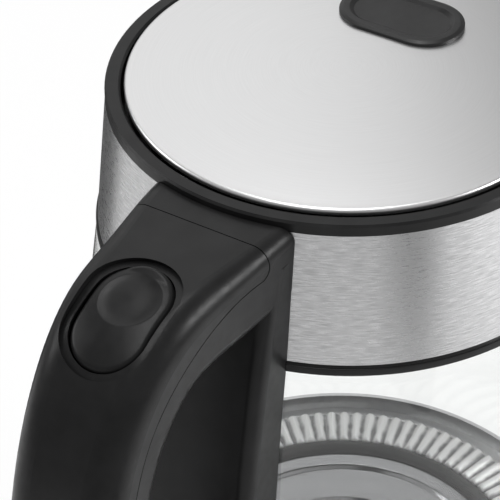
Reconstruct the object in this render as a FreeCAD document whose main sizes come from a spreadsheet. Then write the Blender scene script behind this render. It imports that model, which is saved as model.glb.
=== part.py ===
import FreeCAD, Part
import math
import os

import Sketcher

# Electric kettle: a glass jug with a steel collar and a black D handle on a round power base.
# Frame: origin at the centre of the base's underside, +Z up, +X to the handle, -X to the spout.

SIZES = {
    # power base
    "foot_height": 3.0,
    "foot_r": 8.0,
    "foot_margin": 22.0,
    "base_r": 82.0,
    "base_height": 19.5,
    "base_side": 11.0,
    "base_bevel": 4.0,
    "base_wall": 2.5,
    "base_plate_thickness": 2.0,
    "base_screw_margin": 36.0,
    "connector_r": 17.0,
    "connector_rise": 9.0,
    "connector_flange": 4.0,
    "slot_depth": 6.0,
    "slot_inner_r": 9.0,
    "slot_width": 3.0,
    "pin_hole_r": 3.2,
    "contact_wall": 0.8,
    "contact_pin_r": 1.0,
    "inlet_bore_r": 3.2,
    "inlet_wall": 1.2,
    "inlet_length": 8.0,
    "inlet_flange": 1.2,
    # fasteners and fits
    "screw_r": 1.4,
    "screw_head_r": 3.0,
    "screw_head_height": 1.6,
    "screw_length": 10.0,
    "boss_r": 4.0,
    "fit": 0.2,
    "running_fit": 0.05,
    # jug, from the base up
    "jug_gap": 0.3,
    "housing_height": 29.2,
    "glass_height": 145.4,
    "lower_ring_height": 3.4,
    "collar_height": 39.9,
    "rim_height": 3.3,
    "lid_proud": 1.0,
    "skirt_tuck": 3.8,
    "skirt_lip": 1.4,
    "skirt_round": 7.0,
    "skirt_cover": 3.0,
    "housing_wall": 2.4,
    "shelf_lip": 3.0,
    "cover_thickness": 2.5,
    "cover_screw_margin": 11.0,
    "socket_wall": 3.8,
    "socket_flange": 4.0,
    "socket_play": 1.2,
    # floor of the jug
    "floor_rim": 4.0,
    "glass_wall": 3.0,
    "glass_r": 81.2,
    "glass_corner": 8.0,
    "glass_straight": 23.0,
    "glass_bulge": 2.3,
    "glass_shoulder": 2.5,
    "neck_step": 2.0,
    "glass_neck_height": 13.6,
    "glass_rim_turn": 11.2,
    "plate_margin": 23.2,
    "plate_flange": 1.5,
    "plate_drop": 2.0,
    "plate_step": 7.0,
    "bead_height": 1.3,
    "bead_width": 5.0,
    "bead_pitch": 18.0,
    "seal_width": 5.4,
    "seal_height": 3.5,
    "light_ring_height": 4.2,
    "element_margin": 15.0,
    "element_tube_r": 4.2,
    "terminal_r": 2.0,
    "terminal_length": 8.0,
    "control_r": 21.0,
    "board_thickness": 1.5,
    "lamp_r": 1.6,
    # collar, rim and spout
    "rim_outer_r": 67.4,
    "rim_width": 4.4,
    "rim_edge": 0.6,
    "sleeve_wall": 2.4,
    "sleeve_depth": 34.7,
    "collar_flare": 4.1,
    "sheet": 0.6,
    "lower_ring_proud": 0.6,
    "spout_reach": 22.0,
    "spout_overlap": 7.4,
    "spout_half_width": 27.0,
    "spout_depth": 48.0,
    "spout_tip_half_width": 3.5,
    "spout_tip_depth": 6.0,
    "spout_wall": 1.0,
    "spout_drop": 1.2,
    "window_half_width": 12.5,
    "window_rise": 7.5,
    "window_height": 17.5,
    "filter_thickness": 2.5,
    "filter_border": 3.0,
    "mesh_thickness": 0.5,
    # lid
    "lid_gap": 1.0,
    "lid_dome": 2.4,
    "lid_roll": 1.0,
    "lid_depth": 11.5,
    "lid_wall": 2.0,
    "lid_inset": 0.8,
    "liner_thickness": 1.5,
    "gasket_width": 0.7,
    "gasket_height": 2.0,
    "hinge_inset": 13.0,
    "hinge_drop": 1.7,
    "hinge_pin_r": 0.8,
    "hinge_half_span": 28.0,
    "post_width": 4.0,
    "post_reach": 2.5,
    "post_top_r": 1.15,
    "knuckle_r": 1.5,
    "hinge_bay": 6.0,
    "bracket_height": 6.0,
    "bracket_drop": 16.0,
    "bracket_reach": 10.0,
    "spring_length": 10.8,
    "spring_wire": 0.5,
    "knob_offset": 29.5,
    "knob_half_length": 18.75,
    "knob_half_width": 11.5,
    "knob_rise": 2.0,
    "knob_rim": 4.2,
    "knob_recess": 1.4,
    # handle, heights measured down from the lid's edge
    "handle_reach": 151.0,
    "loop_reach": 129.8,
    "bridge_end_x": 96.0,
    "foot_end_x": 78.0,
    "bridge_top": 3.0,
    "bridge_under": 26.5,
    "handle_middle": 104.0,
    "foot_upper": 189.0,
    "foot_lower": 213.0,
    "outer_power": 2.3,
    "inner_power": 2.2,
    "root_half_width": 21.7,
    "grip_half_width": 16.4,
    "taper_end_x": 129.0,
    "foot_half_width": 18.0,
    "root_round": 4.5,
    "outer_round": 9.0,
    "inner_round": 5.0,
    "handle_wall": 2.5,
    "seam_x": 75.0,
    "seam_depth": 8.0,
    "parting_depth": 13.0,
    "seam_gap": 0.3,
    "seam_round": 3.0,
    "strip_top_rise": 5.6,
    "strip_middle_rise": 12.65,
    "strip_foot_rise": 10.2,
    "handle_root": 12.4,
    "strip_round": 4.0,
    "handle_screw_spread": 9.0,
    "handle_screw_rise": 8.0,
    # release button, latch and switch
    "button_x": 110.8,
    "button_drop": 7.7,
    "button_tilt": 24.0,
    "button_r": 10.6,
    "button_span": 10.4,
    "button_depth": 5.5,
    "button_clearance": 0.35,
    "flange_width": 2.2,
    "flange_depth": 1.4,
    "button_sink": 0.4,
    "dimple_r": 8.2,
    "dimple_depth": 1.0,
    "dimple_shift": 4.6,
    "stem_r": 2.0,
    "stem_length": 5.5,
    "latch_half_width": 4.0,
    "latch_thickness": 3.0,
    "latch_drop": 9.0,
    "latch_step": 11.0,
    "latch_tip_gap": 1.0,
    "tail_thickness": 2.5,
    "tail_inset": 3.0,
    "switch_x": 107.0,
    "switch_drop": 191.0,
    "switch_pivot_r": 3.0,
    "switch_half_width": 7.0,
    "switch_length": 20.0,
    "switch_thickness": 4.0,
    "switch_tilt": 25.0,
    "switch_room": 5.5,
}

BASE_SCREW_ANGLES = (30, 150, 270)
COVER_SCREW_ANGLES = (60, 180, 300)
FOOT_ANGLES = (45, 135, 225, 315)
LAMP_COUNT = 12
TERMINAL_ANGLES = (165, 195)
SPOUT_ANGLES = (0, 36, 72, 90, 108, 144, 180)
ARC_DOME_SHARE = 0.75
BRIDGE_STATIONS = 3
LOOP_ANGLES = (0, 18, 36, 54, 72)
CLEAR = 60.0

doc = FreeCAD.newDocument("electric_kettle")
sheet = doc.addObject("Spreadsheet::Sheet", "dims")
for row, (alias, number) in enumerate(SIZES.items(), start=1):
    sheet.set(f"A{row}", alias)
    sheet.set(f"B{row}", str(number))
    sheet.setAlias(f"B{row}", alias)
doc.recompute()


class Size:
    """A length that carries its number and the sheet expression that drives it."""

    def __init__(self, value, text):
        self.value = float(value)
        self.text = text

    def __add__(self, other):
        other = as_size(other)
        return Size(self.value + other.value, f"({self.text} + {other.text})")

    def __sub__(self, other):
        other = as_size(other)
        return Size(self.value - other.value, f"({self.text} - {other.text})")

    def __rsub__(self, other):
        return as_size(other) - self

    def __mul__(self, other):
        other = as_size(other)
        return Size(self.value * other.value, f"({self.text} * {other.text})")

    def __truediv__(self, other):
        other = as_size(other)
        return Size(self.value / other.value, f"({self.text} / {other.text})")

    def __neg__(self):
        return Size(-self.value, f"(0 - {self.text})")

    __radd__ = __add__
    __rmul__ = __mul__


def as_size(value):
    return value if isinstance(value, Size) else Size(value, f"{value:.9f}")


class Dimensions:
    """The sheet's cells by name."""

    def __getattr__(self, name):
        return Size(sheet.get(name), f"dims.{name}")


d = Dimensions()
nodes = {}


def keep(label, item):
    """Name a finished sub-part and list it for export."""
    item.Label = label
    nodes[label] = item
    return item


def place(item, at, turn=None):
    if turn:
        item.Placement.Rotation = FreeCAD.Rotation(FreeCAD.Vector(*turn[0]), turn[1])
    for axis, size in zip("xyz", at):
        item.setExpression(f"Placement.Base.{axis}", as_size(size).text)
    return item


def solid(kind, name, at, turn=None, **sizes):
    item = doc.addObject(f"Part::{kind}", name)
    for prop, size in sizes.items():
        item.setExpression(prop, as_size(size).text)
    return place(item, at, turn)


def cylinder(name, radius, height, at, turn=None):
    return solid("Cylinder", name, at, turn, Radius=radius, Height=height)


def block(name, low, high):
    """A box between two corners."""
    span = [as_size(b) - a for a, b in zip(low, high)]
    return solid("Box", name, low, None, Length=span[0], Width=span[1], Height=span[2])


def fuse(name, items):
    item = doc.addObject("Part::MultiFuse", name)
    item.Shapes = items
    return item


def group(name, items):
    item = doc.addObject("Part::Compound", name)
    item.Links = items
    return item


def cut(name, base, tools):
    item = doc.addObject("Part::Cut", name)
    item.Base = base
    item.Tool = tools[0] if len(tools) == 1 else group(f"{name}_tools", tools)
    return item


def tube(name, inner, outer, height, at, turn=None):
    whole = cylinder(f"{name}_outside", outer, height, at, turn)
    hole = cylinder(f"{name}_bore", inner, height, at, turn)
    return cut(name, whole, [hole])


def turned(name, outline):
    """A body of revolution about Z from an outline of (radius, height) corners."""
    body = doc.addObject("PartDesign::Body", name)
    plane = [f for f in body.Origin.OriginFeatures if f.Role == "XZ_Plane"][0]
    sketch = body.newObject("Sketcher::SketchObject", f"{name}_outline")
    sketch.AttachmentSupport = [(plane, "")]
    sketch.MapMode = "FlatFace"
    corners = [(as_size(r), as_size(z)) for r, z in outline]
    points = [FreeCAD.Vector(r.value, z.value, 0) for r, z in corners]
    count = len(points)
    for i in range(count):
        sketch.addGeometry(Part.LineSegment(points[i], points[(i + 1) % count]), False)
    for i in range(count):
        sketch.addConstraint(Sketcher.Constraint("Coincident", i, 2, (i + 1) % count, 1))
    for i, (r, z) in enumerate(corners):
        if r.value == 0:
            sketch.addConstraint(Sketcher.Constraint("PointOnObject", i, 1, -2))
        else:
            index = sketch.addConstraint(Sketcher.Constraint("DistanceX", -1, 1, i, 1, r.value))
            sketch.setExpression(f"Constraints[{index}]", r.text)
        index = sketch.addConstraint(Sketcher.Constraint("DistanceY", -1, 1, i, 1, z.value))
        sketch.setExpression(f"Constraints[{index}]", z.text)
    spin = body.newObject("PartDesign::Revolution", f"{name}_spin")
    spin.Profile = sketch
    spin.ReferenceAxis = (sketch, ["V_Axis"])
    spin.Angle = 360
    return body


def feature(name, shape):
    item = doc.addObject("Part::Feature", name)
    item.Shape = shape
    return item


def polar(radius, degrees):
    angle = math.radians(degrees)
    return radius * math.cos(angle), radius * math.sin(angle)


def revolved_wire(edges):
    """A solid of revolution about Z from edges that close in the XZ plane."""
    face = Part.Face(Part.Wire(Part.__sortEdges__(edges)))
    return face.revolve(FreeCAD.Vector(0, 0, 0), FreeCAD.Vector(0, 0, 1), 360)


def in_plane(r, z):
    return FreeCAD.Vector(as_size(r).value, 0, as_size(z).value)


def line(a, b):
    return Part.LineSegment(a, b).toShape()


def arc(a, b, c):
    return Part.Arc(a, b, c).toShape()


# Radii that follow from the glass, the rim and the base
skirt_r = d.glass_r + d.fit + d.skirt_lip
skirt_foot_r = skirt_r - d.skirt_tuck
plate_r = d.glass_r - d.plate_margin
plate_step_r = plate_r - d.plate_step
inner_bead_r = plate_step_r - d.bead_pitch
shelf_r = plate_r - d.shelf_lip
glass_rim_r = d.glass_r - d.glass_rim_turn
rim_inner_r = d.rim_outer_r - d.rim_width
glass_neck_r = d.rim_outer_r + d.neck_step
glass_shoulder_r = glass_neck_r + d.glass_shoulder
element_r = plate_step_r - d.element_margin
hinge_x = rim_inner_r - d.hinge_inset
handle_root_x = d.rim_outer_r - d.handle_root

# Heights of the main joints between the pieces
deck_z = d.foot_height + d.base_height
jug_z = deck_z + d.jug_gap
floor_z = jug_z + d.housing_height
neck_z = floor_z + d.glass_height
collar_z = neck_z + d.lower_ring_height
flange_z = collar_z + d.collar_height
rim_z = flange_z + d.rim_height
lid_z = rim_z + d.lid_proud
shelf_z = floor_z - d.floor_rim
plate_z = floor_z - d.plate_drop
hinge_z = lid_z - d.hinge_drop
sleeve_foot_z = flange_z - d.sleeve_depth
along_y = ((1, 0, 0), -90)
along_x = ((0, 1, 0), 90)


def screws(label, sites):
    """Pan head screws standing on their heads, one solid at each (x, y, z) of a head's underside."""
    items = []
    for i, (x, y, z) in enumerate(sites):
        head = cylinder(f"{label}_head{i}", d.screw_head_r, d.screw_head_height, (x, y, z))
        shank_at = (x, y, z + d.screw_head_height)
        shank = cylinder(f"{label}_shank{i}", d.screw_r, d.screw_length, shank_at)
        items.append(fuse(f"{label}_{i}", [head, shank]))
    return keep(label, group(f"{label}_group", items))


# Power base: a hollow plastic dish with screw bosses, closed below by a plate on rubber feet
deck_under = deck_z - d.base_wall
plate_top = d.foot_height + d.base_plate_thickness
base_inner_r = d.base_r - d.base_wall
dish = turned("base_dish", [
    (d.base_r, d.foot_height),
    (d.base_r, d.foot_height + d.base_side),
    (d.base_r - d.base_bevel, deck_z),
    (d.connector_r + d.fit, deck_z),
    (d.connector_r + d.fit, deck_under),
    (base_inner_r - d.base_bevel, deck_under),
    (base_inner_r, d.foot_height + d.base_side),
    (base_inner_r, d.foot_height),
])
base_screw_sites = [polar(d.base_r - d.base_screw_margin, a) for a in BASE_SCREW_ANGLES]
base_bosses = [
    cylinder(f"base_boss{i}", d.boss_r, deck_under - plate_top, (x, y, plate_top))
    for i, (x, y) in enumerate(base_screw_sites)
]
base_pilots = [
    cylinder(f"base_pilot{i}", d.screw_r + d.running_fit, d.screw_length, (x, y, plate_top))
    for i, (x, y) in enumerate(base_screw_sites)
]
inlet_r = d.inlet_bore_r + d.inlet_wall
inlet_z = plate_top + d.fit + inlet_r
inlet_x = d.base_r + d.inlet_flange - d.inlet_length
inlet_hole = cylinder("inlet_hole", inlet_r + d.fit, d.inlet_length + d.base_wall,
                      (inlet_x - d.base_wall, 0, inlet_z), along_x)
keep("base_shell", cut("base_shell_cut", fuse("base_dish_bossed", [dish] + base_bosses),
                       base_pilots + [inlet_hole]))

base_disc = cylinder("base_disc", base_inner_r - d.fit, d.base_plate_thickness, (0, 0, d.foot_height))
base_holes = [
    cylinder(f"base_hole{i}", d.screw_r + d.fit, d.base_plate_thickness, (x, y, d.foot_height))
    for i, (x, y) in enumerate(base_screw_sites)
]
keep("base_plate", cut("base_plate_cut", base_disc, base_holes))
feet = [
    cylinder(f"foot{i}", d.foot_r, d.foot_height, (*polar(d.base_r - d.foot_margin, a), 0))
    for i, a in enumerate(FOOT_ANGLES)
]
keep("base_feet", group("base_feet_group", feet))
screws("base_screws", [(x, y, d.foot_height - d.screw_head_height) for x, y in base_screw_sites])

# Cord inlet: a flanged bush in the side of the base shell, with an open bore
inlet_body = cylinder("inlet_body", inlet_r, d.inlet_length, (inlet_x, 0, inlet_z), along_x)
inlet_collar = cylinder("inlet_collar", inlet_r + d.inlet_flange, d.inlet_flange,
                        (d.base_r, 0, inlet_z), along_x)
inlet_bore = cylinder("inlet_bore", d.inlet_bore_r, d.inlet_length, (inlet_x, 0, inlet_z), along_x)
dish_side = cylinder("dish_side", d.base_r, d.base_side, (0, 0, d.foot_height))
collar_fitted = cut("inlet_collar_fitted", inlet_collar, [dish_side])
keep("cord_inlet", cut("cord_inlet_cut", fuse("inlet_fitted", [inlet_body, collar_fitted]), [inlet_bore]))

# Round connector that stands up through the deck, with a ring contact and a centre pin
connector_top = deck_z + d.connector_rise
slot_floor = connector_top - d.slot_depth
slot_outer_r = d.slot_inner_r + d.slot_width
keep("base_connector", turned("connector", [
    (0, deck_under - d.connector_flange),
    (d.connector_r + d.connector_flange, deck_under - d.connector_flange),
    (d.connector_r + d.connector_flange, deck_under),
    (d.connector_r, deck_under),
    (d.connector_r, connector_top),
    (slot_outer_r, connector_top),
    (slot_outer_r, slot_floor),
    (d.slot_inner_r, slot_floor),
    (d.slot_inner_r, connector_top),
    (d.pin_hole_r, connector_top),
    (d.pin_hole_r, slot_floor),
    (0, slot_floor),
]))
contact_height = d.slot_depth - d.contact_wall
ring_contact = tube("ring_contact", d.slot_inner_r, d.slot_inner_r + d.contact_wall, contact_height,
                    (0, 0, slot_floor))
pin_contact = cylinder("pin_contact", d.contact_pin_r, contact_height, (0, 0, slot_floor))
keep("base_contacts", group("base_contacts_group", [ring_contact, pin_contact]))

# Lower skirt: the plastic housing under the glass, with a shelf for the glass and the plate
cover_r = skirt_foot_r - d.housing_wall
skirt_top = floor_z + d.skirt_cover
skirt_inner_r = skirt_r - d.housing_wall
shelf_under = shelf_z - d.housing_wall
cover_top = jug_z + d.cover_thickness
skirt = turned("skirt", [
    (skirt_foot_r, jug_z),
    (skirt_r, jug_z + d.skirt_round),
    (skirt_r, skirt_top),
    (d.glass_r + d.fit, skirt_top),
    (d.glass_r + d.fit, shelf_z),
    (plate_r + d.fit, shelf_z),
    (plate_r + d.fit, plate_z),
    (shelf_r, plate_z),
    (shelf_r, shelf_under),
    (skirt_inner_r, shelf_under),
    (skirt_inner_r, jug_z + d.skirt_round),
    (cover_r + d.fit, cover_top),
    (cover_r + d.fit, jug_z),
])
cover_screw_sites = [polar(skirt_foot_r - d.cover_screw_margin, a) for a in COVER_SCREW_ANGLES]
cover_bosses = [
    cylinder(f"cover_boss{i}", d.boss_r, shelf_under - cover_top, (x, y, cover_top))
    for i, (x, y) in enumerate(cover_screw_sites)
]
cover_pilots = [
    cylinder(f"cover_pilot{i}", d.screw_r + d.running_fit, d.screw_length, (x, y, cover_top))
    for i, (x, y) in enumerate(cover_screw_sites)
]
handle_screw_x = skirt_r - d.housing_wall - d.screw_head_height
handle_screw_z = lid_z - d.foot_lower + d.handle_screw_rise
handle_screw_sites = [(handle_screw_x, side * d.handle_screw_spread, handle_screw_z) for side in (-1, 1)]
handle_screw_holes = [
    cylinder(f"handle_screw_hole{i}", d.screw_r + d.fit, d.screw_length, site, along_x)
    for i, site in enumerate(handle_screw_sites)
]
keep("lower_skirt", cut("lower_skirt_cut", fuse("skirt_bossed", [skirt] + cover_bosses),
                        cover_pilots + handle_screw_holes))

# Bottom cover, screwed to the skirt, and the socket that drops over the base's connector
socket_inner_r = d.connector_r + d.socket_play
socket_r = socket_inner_r + d.socket_wall
socket_ceiling = connector_top + d.socket_play
cover_disc = tube("cover_disc", socket_r + d.fit, cover_r, d.cover_thickness, (0, 0, jug_z))
head_sinks = [
    cylinder(f"head_sink{i}", d.screw_head_r + d.fit, d.screw_head_height, (x, y, jug_z))
    for i, (x, y) in enumerate(cover_screw_sites)
]
cover_holes = [
    cylinder(f"cover_hole{i}", d.screw_r + d.fit, d.cover_thickness, (x, y, jug_z))
    for i, (x, y) in enumerate(cover_screw_sites)
]
keep("bottom_cover", cut("bottom_cover_cut", cover_disc, head_sinks + cover_holes))
screws("cover_screws", [(x, y, jug_z) for x, y in cover_screw_sites])
control_z = socket_ceiling + d.cover_thickness
keep("jug_socket", turned("socket", [
    (0, socket_ceiling),
    (socket_inner_r, socket_ceiling),
    (socket_inner_r, jug_z),
    (socket_r, jug_z),
    (socket_r, cover_top),
    (socket_r + d.socket_flange, cover_top),
    (socket_r + d.socket_flange, control_z),
    (0, control_z),
]))
blade_inner_r = slot_outer_r - 2 * d.contact_wall
blade_drop = d.socket_play + d.slot_depth / 2
ring_blade = tube("ring_blade", blade_inner_r, blade_inner_r + d.contact_wall, blade_drop,
                  (0, 0, socket_ceiling - blade_drop))
pin_sleeve = tube("pin_sleeve", d.contact_pin_r + d.fit, d.contact_pin_r + d.contact_wall,
                  blade_drop, (0, 0, socket_ceiling - blade_drop))
keep("jug_contacts", group("jug_contacts_group", [ring_blade, pin_sleeve]))

# Control unit with the steam and boil-dry switches, between the socket and the plate
keep("control_unit", cylinder("control_can", d.control_r, plate_z - control_z, (0, 0, control_z)))

# Heating plate: a steel disc with a raised field and two pressed beads
bead_top = floor_z + d.bead_height
outer_bead_in = plate_step_r - d.bead_width
keep("heating_plate", turned("plate", [
    (0, plate_z),
    (plate_r, plate_z),
    (plate_r, plate_z + d.plate_flange),
    (plate_step_r + d.bead_height, plate_z + d.plate_flange),
    (plate_step_r, bead_top),
    (outer_bead_in, bead_top),
    (outer_bead_in - d.bead_height, floor_z),
    (inner_bead_r + d.bead_width / 2, floor_z),
    (inner_bead_r + d.bead_width / 4, bead_top),
    (inner_bead_r - d.bead_width / 4, bead_top),
    (inner_bead_r - d.bead_width / 2, floor_z),
    (0, floor_z),
]))
seal_r = plate_r + d.fit
seal_z = plate_z + d.plate_flange
keep("plate_seal", tube("seal_ring", seal_r - d.seal_width, seal_r, d.seal_height, (0, 0, seal_z)))

# Clear ring that spreads the light, over a ring board with lamps on the shelf
light_r = d.glass_r - d.glass_corner - d.glass_wall / 2
light_z = seal_z + d.fit
keep("light_ring", tube("light_tube", seal_r + d.fit, light_r, d.light_ring_height, (0, 0, light_z)))
board_inner_r = plate_r + 2 * d.fit + d.housing_wall / 2
board_outer_r = glass_rim_r - d.fit
board = tube("board", board_inner_r, board_outer_r, d.board_thickness, (0, 0, shelf_z))
lamp_z = shelf_z + d.board_thickness
lamp_circle_r = (board_inner_r + board_outer_r) / 2
lamps = [
    cylinder(f"lamp{i}", d.lamp_r, light_z - lamp_z,
             (*polar(lamp_circle_r, i * 360 / LAMP_COUNT), lamp_z))
    for i in range(LAMP_COUNT)
]
keep("light_board", fuse("light_board_fused", [board] + lamps))

# Ring heating element brazed under the plate, with two terminals
element_z = plate_z - d.element_tube_r
element = solid("Torus", "element_ring", (0, 0, element_z), None,
                Radius1=element_r, Radius2=d.element_tube_r)
terminals = [
    cylinder(f"terminal{i}", d.terminal_r, d.terminal_length,
             (*polar(element_r, angle), element_z - d.terminal_length))
    for i, angle in enumerate(TERMINAL_ANGLES)
]
keep("heating_element", fuse("heating_element_fused", [element] + terminals))

# Glass body: a blown cone with a straight neck and a rim turned in at the floor
glass_top = neck_z + d.glass_neck_height
straight_z = floor_z + d.glass_straight
belly_z = (neck_z + straight_z) / 2
belly_r = (glass_shoulder_r + d.glass_r) / 2 + d.glass_bulge
inner_r = d.glass_r - d.glass_wall
shoulder_inner_r = glass_shoulder_r - d.glass_wall
neck_inner_r = glass_neck_r - d.glass_wall
shoulder_z = neck_z - d.glass_wall
corner_z = shelf_z + d.glass_corner
corner_r = d.glass_r - d.glass_corner
diagonal = math.sqrt(0.5)
round_share = 1 - diagonal
inner_corner = d.glass_corner - d.glass_wall
glass_corners = [
    in_plane(glass_neck_r, glass_top),
    in_plane(glass_neck_r, neck_z),
    in_plane(glass_shoulder_r, neck_z),
]
outer_foot = in_plane(d.glass_r, straight_z)
outer_turn = in_plane(d.glass_r, corner_z)
outer_bend = in_plane(d.glass_r - d.glass_corner * round_share, shelf_z + d.glass_corner * round_share)
under_turn = in_plane(corner_r, shelf_z)
rim_under = in_plane(glass_rim_r, shelf_z)
rim_over = in_plane(glass_rim_r, seal_z)
inner_turn = in_plane(corner_r, seal_z)
inner_bend = in_plane(inner_r - inner_corner * round_share, seal_z + inner_corner * round_share)
inner_foot = in_plane(inner_r, seal_z + inner_corner)
inner_straight = in_plane(inner_r, straight_z)
inner_shoulder = in_plane(shoulder_inner_r, shoulder_z)
inner_neck = in_plane(neck_inner_r, neck_z + d.glass_wall)
inner_top = in_plane(neck_inner_r, glass_top)
glass_edges = [
    line(glass_corners[0], glass_corners[1]),
    line(glass_corners[1], glass_corners[2]),
    arc(glass_corners[2], in_plane(belly_r, belly_z), outer_foot),
    line(outer_foot, outer_turn),
    arc(outer_turn, outer_bend, under_turn),
    line(under_turn, rim_under),
    line(rim_under, rim_over),
    line(rim_over, inner_turn),
    arc(inner_turn, inner_bend, inner_foot),
    line(inner_foot, inner_straight),
    arc(inner_straight, in_plane(belly_r - d.glass_wall, belly_z), inner_shoulder),
    line(inner_shoulder, inner_neck),
    line(inner_neck, inner_top),
    line(inner_top, glass_corners[0]),
]
keep("glass_body", feature("glass", revolved_wire(glass_edges)))

# Rim ring: the black trim round the lid with a sleeve down into the neck, hinge posts and guides
sleeve_r = rim_inner_r + d.sleeve_wall
rim_turned = turned("rim", [
    (d.rim_outer_r, flange_z),
    (d.rim_outer_r, rim_z - d.rim_edge),
    (d.rim_outer_r - d.rim_edge, rim_z),
    (rim_inner_r + d.rim_edge, rim_z),
    (rim_inner_r, rim_z - d.rim_edge),
    (rim_inner_r, sleeve_foot_z),
    (sleeve_r, sleeve_foot_z),
    (sleeve_r, flange_z),
])
window_z = sleeve_foot_z + d.window_rise
window_top = window_z + d.window_height
latch_z = lid_z - d.latch_drop - d.latch_thickness
latch_slot_low = latch_z - 2 * d.fit
latch_slot_high = latch_z + d.latch_thickness + 2 * d.fit
latch_slot_half = d.latch_half_width + 2 * d.fit
wall_outer_r = d.rim_outer_r + d.collar_flare
filter_half = d.window_half_width + d.filter_border
filter_x = -(rim_inner_r - d.filter_border - d.filter_thickness)
bracket_top = hinge_z - d.bracket_drop
post_x = hinge_x - d.post_reach
post_items = [
    block("hinge_shelf", (hinge_x - d.bracket_reach, -d.hinge_half_span, bracket_top - d.bracket_height),
          (rim_inner_r + d.sleeve_wall, d.hinge_half_span, bracket_top)),
]
for name, side in (("near", 1), ("far", -1)):
    post_low_y = d.hinge_half_span - d.post_width if side > 0 else -d.hinge_half_span
    post_high_y = post_low_y + d.post_width
    post_items += [
        block(f"{name}_post", (post_x, post_low_y, bracket_top - d.bracket_height),
              (hinge_x + d.post_top_r, post_high_y, hinge_z)),
        cylinder(f"{name}_post_top", d.post_top_r, d.post_width, (hinge_x, post_low_y, hinge_z), along_y),
    ]
    guide_low_y = filter_half + d.fit if side > 0 else -filter_half - d.fit - d.filter_border
    post_items.append(
        block(f"{name}_guide", (-rim_inner_r, guide_low_y, sleeve_foot_z),
              (filter_x + d.filter_thickness, guide_low_y + d.filter_border, window_top)))
post_limit = cylinder("post_limit", rim_inner_r + d.sleeve_wall / 2, flange_z, (0, 0, 0))
posts = doc.addObject("Part::MultiCommon", "posts_fitted")
posts.Shapes = [group("post_blocks", [fuse("posts_fused", post_items)]), post_limit]
pin_bores = cylinder("pin_bores", d.hinge_pin_r + d.running_fit, 2 * d.hinge_half_span,
                     (hinge_x, -d.hinge_half_span, hinge_z), along_y)
spout_window = block("spout_window", (-wall_outer_r, -d.window_half_width, window_z),
                     (-rim_inner_r + d.filter_border, d.window_half_width, window_top))
latch_slot = block("latch_slot", (rim_inner_r - d.filter_border, -latch_slot_half, latch_slot_low),
                   (wall_outer_r, latch_slot_half, latch_slot_high))
keep("rim_ring", cut("rim_ring_cut", fuse("rim_posted", [rim_turned, posts]),
                     [pin_bores, spout_window, latch_slot]))

# Steel collar: a rolled cone of sheet, with the black ring that closes its lower edge
collar_foot_r = d.rim_outer_r + d.collar_flare
collar_cone = turned("collar_cone", [
    (collar_foot_r, collar_z),
    (d.rim_outer_r, flange_z),
    (d.rim_outer_r - d.sheet, flange_z),
    (collar_foot_r - d.sheet, collar_z),
])
keep("steel_collar", cut("steel_collar_cut", collar_cone, [spout_window, latch_slot]))
lower_ring_r = collar_foot_r + d.lower_ring_proud
keep("lower_ring", turned("lower_ring_turned", [
    (glass_neck_r + d.fit, neck_z),
    (lower_ring_r, neck_z),
    (lower_ring_r, collar_z - d.sheet),
    (collar_foot_r, collar_z),
    (glass_neck_r + d.fit, collar_z),
]))
seal_cap_z = glass_top + d.fit
seal_cap_r = glass_neck_r - d.fit
keep("glass_top_seal", turned("neck_seal", [
    (sleeve_r + d.running_fit, sleeve_foot_z),
    (neck_inner_r - d.running_fit, sleeve_foot_z),
    (neck_inner_r - d.running_fit, seal_cap_z),
    (seal_cap_r, seal_cap_z),
    (seal_cap_r, seal_cap_z + d.glass_wall / 2),
    (sleeve_r + d.running_fit, seal_cap_z + d.glass_wall / 2),
]))


def spout_section(x, half_width, top, depth):
    """A flat-topped U in a plane across X."""
    angles = [math.radians(a) for a in SPOUT_ANGLES]
    points = [
        FreeCAD.Vector(x, half_width * math.cos(a), top - depth * math.sin(a)) for a in angles
    ]
    curve = Part.BSplineCurve()
    curve.interpolate(points)
    return Part.Wire([curve.toShape(), line(points[-1], points[0])])


# Spout beak: a pressed steel lip welded over the window in the collar
beak_top = (flange_z - d.spout_drop).value
beak_root_x = -(d.rim_outer_r - d.spout_overlap).value
beak_tip_x = -(d.rim_outer_r + d.spout_reach).value
beak_wall = d.spout_wall.value
beak_outside = Part.makeLoft([
    spout_section(beak_root_x, d.spout_half_width.value, beak_top, d.spout_depth.value),
    spout_section(beak_tip_x, d.spout_tip_half_width.value, beak_top, d.spout_tip_depth.value),
], True, True)
beak_inside = Part.makeLoft([
    spout_section(beak_root_x, d.spout_half_width.value - beak_wall,
                  beak_top + beak_wall, d.spout_depth.value),
    spout_section(beak_tip_x, d.spout_tip_half_width.value - beak_wall,
                  beak_top + beak_wall, d.spout_tip_depth.value),
], True, True)
cone_core = Part.makeCone(collar_foot_r.value, d.rim_outer_r.value, d.collar_height.value,
                          in_plane(0, collar_z))
cone_core = cone_core.fuse(Part.makeCylinder(collar_foot_r.value, collar_z.value))
keep("spout_beak", feature("beak", beak_outside.cut(beak_inside).cut(cone_core)))

# Spout filter: a framed mesh between the two guides behind the window
filter_foot_z = window_z - d.filter_border
filter_low = (filter_x, -filter_half, filter_foot_z)
filter_high = (filter_x + d.filter_thickness, filter_half, window_top)
filter_plate = block("filter_plate", filter_low, filter_high)
filter_opening = block(
    "filter_opening",
    (filter_x, -filter_half + d.filter_border, window_z),
    (filter_x + d.filter_thickness, filter_half - d.filter_border, window_top - d.filter_border))
keep("filter_frame", cut("filter_frame_cut", filter_plate, [filter_opening]))
mesh_x = filter_x + (d.filter_thickness - d.mesh_thickness) / 2
keep("filter_mesh", block(
    "filter_mesh_sheet",
    (mesh_x, -filter_half + d.filter_border, window_z),
    (mesh_x + d.mesh_thickness, filter_half - d.filter_border, window_top - d.filter_border)))

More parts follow.
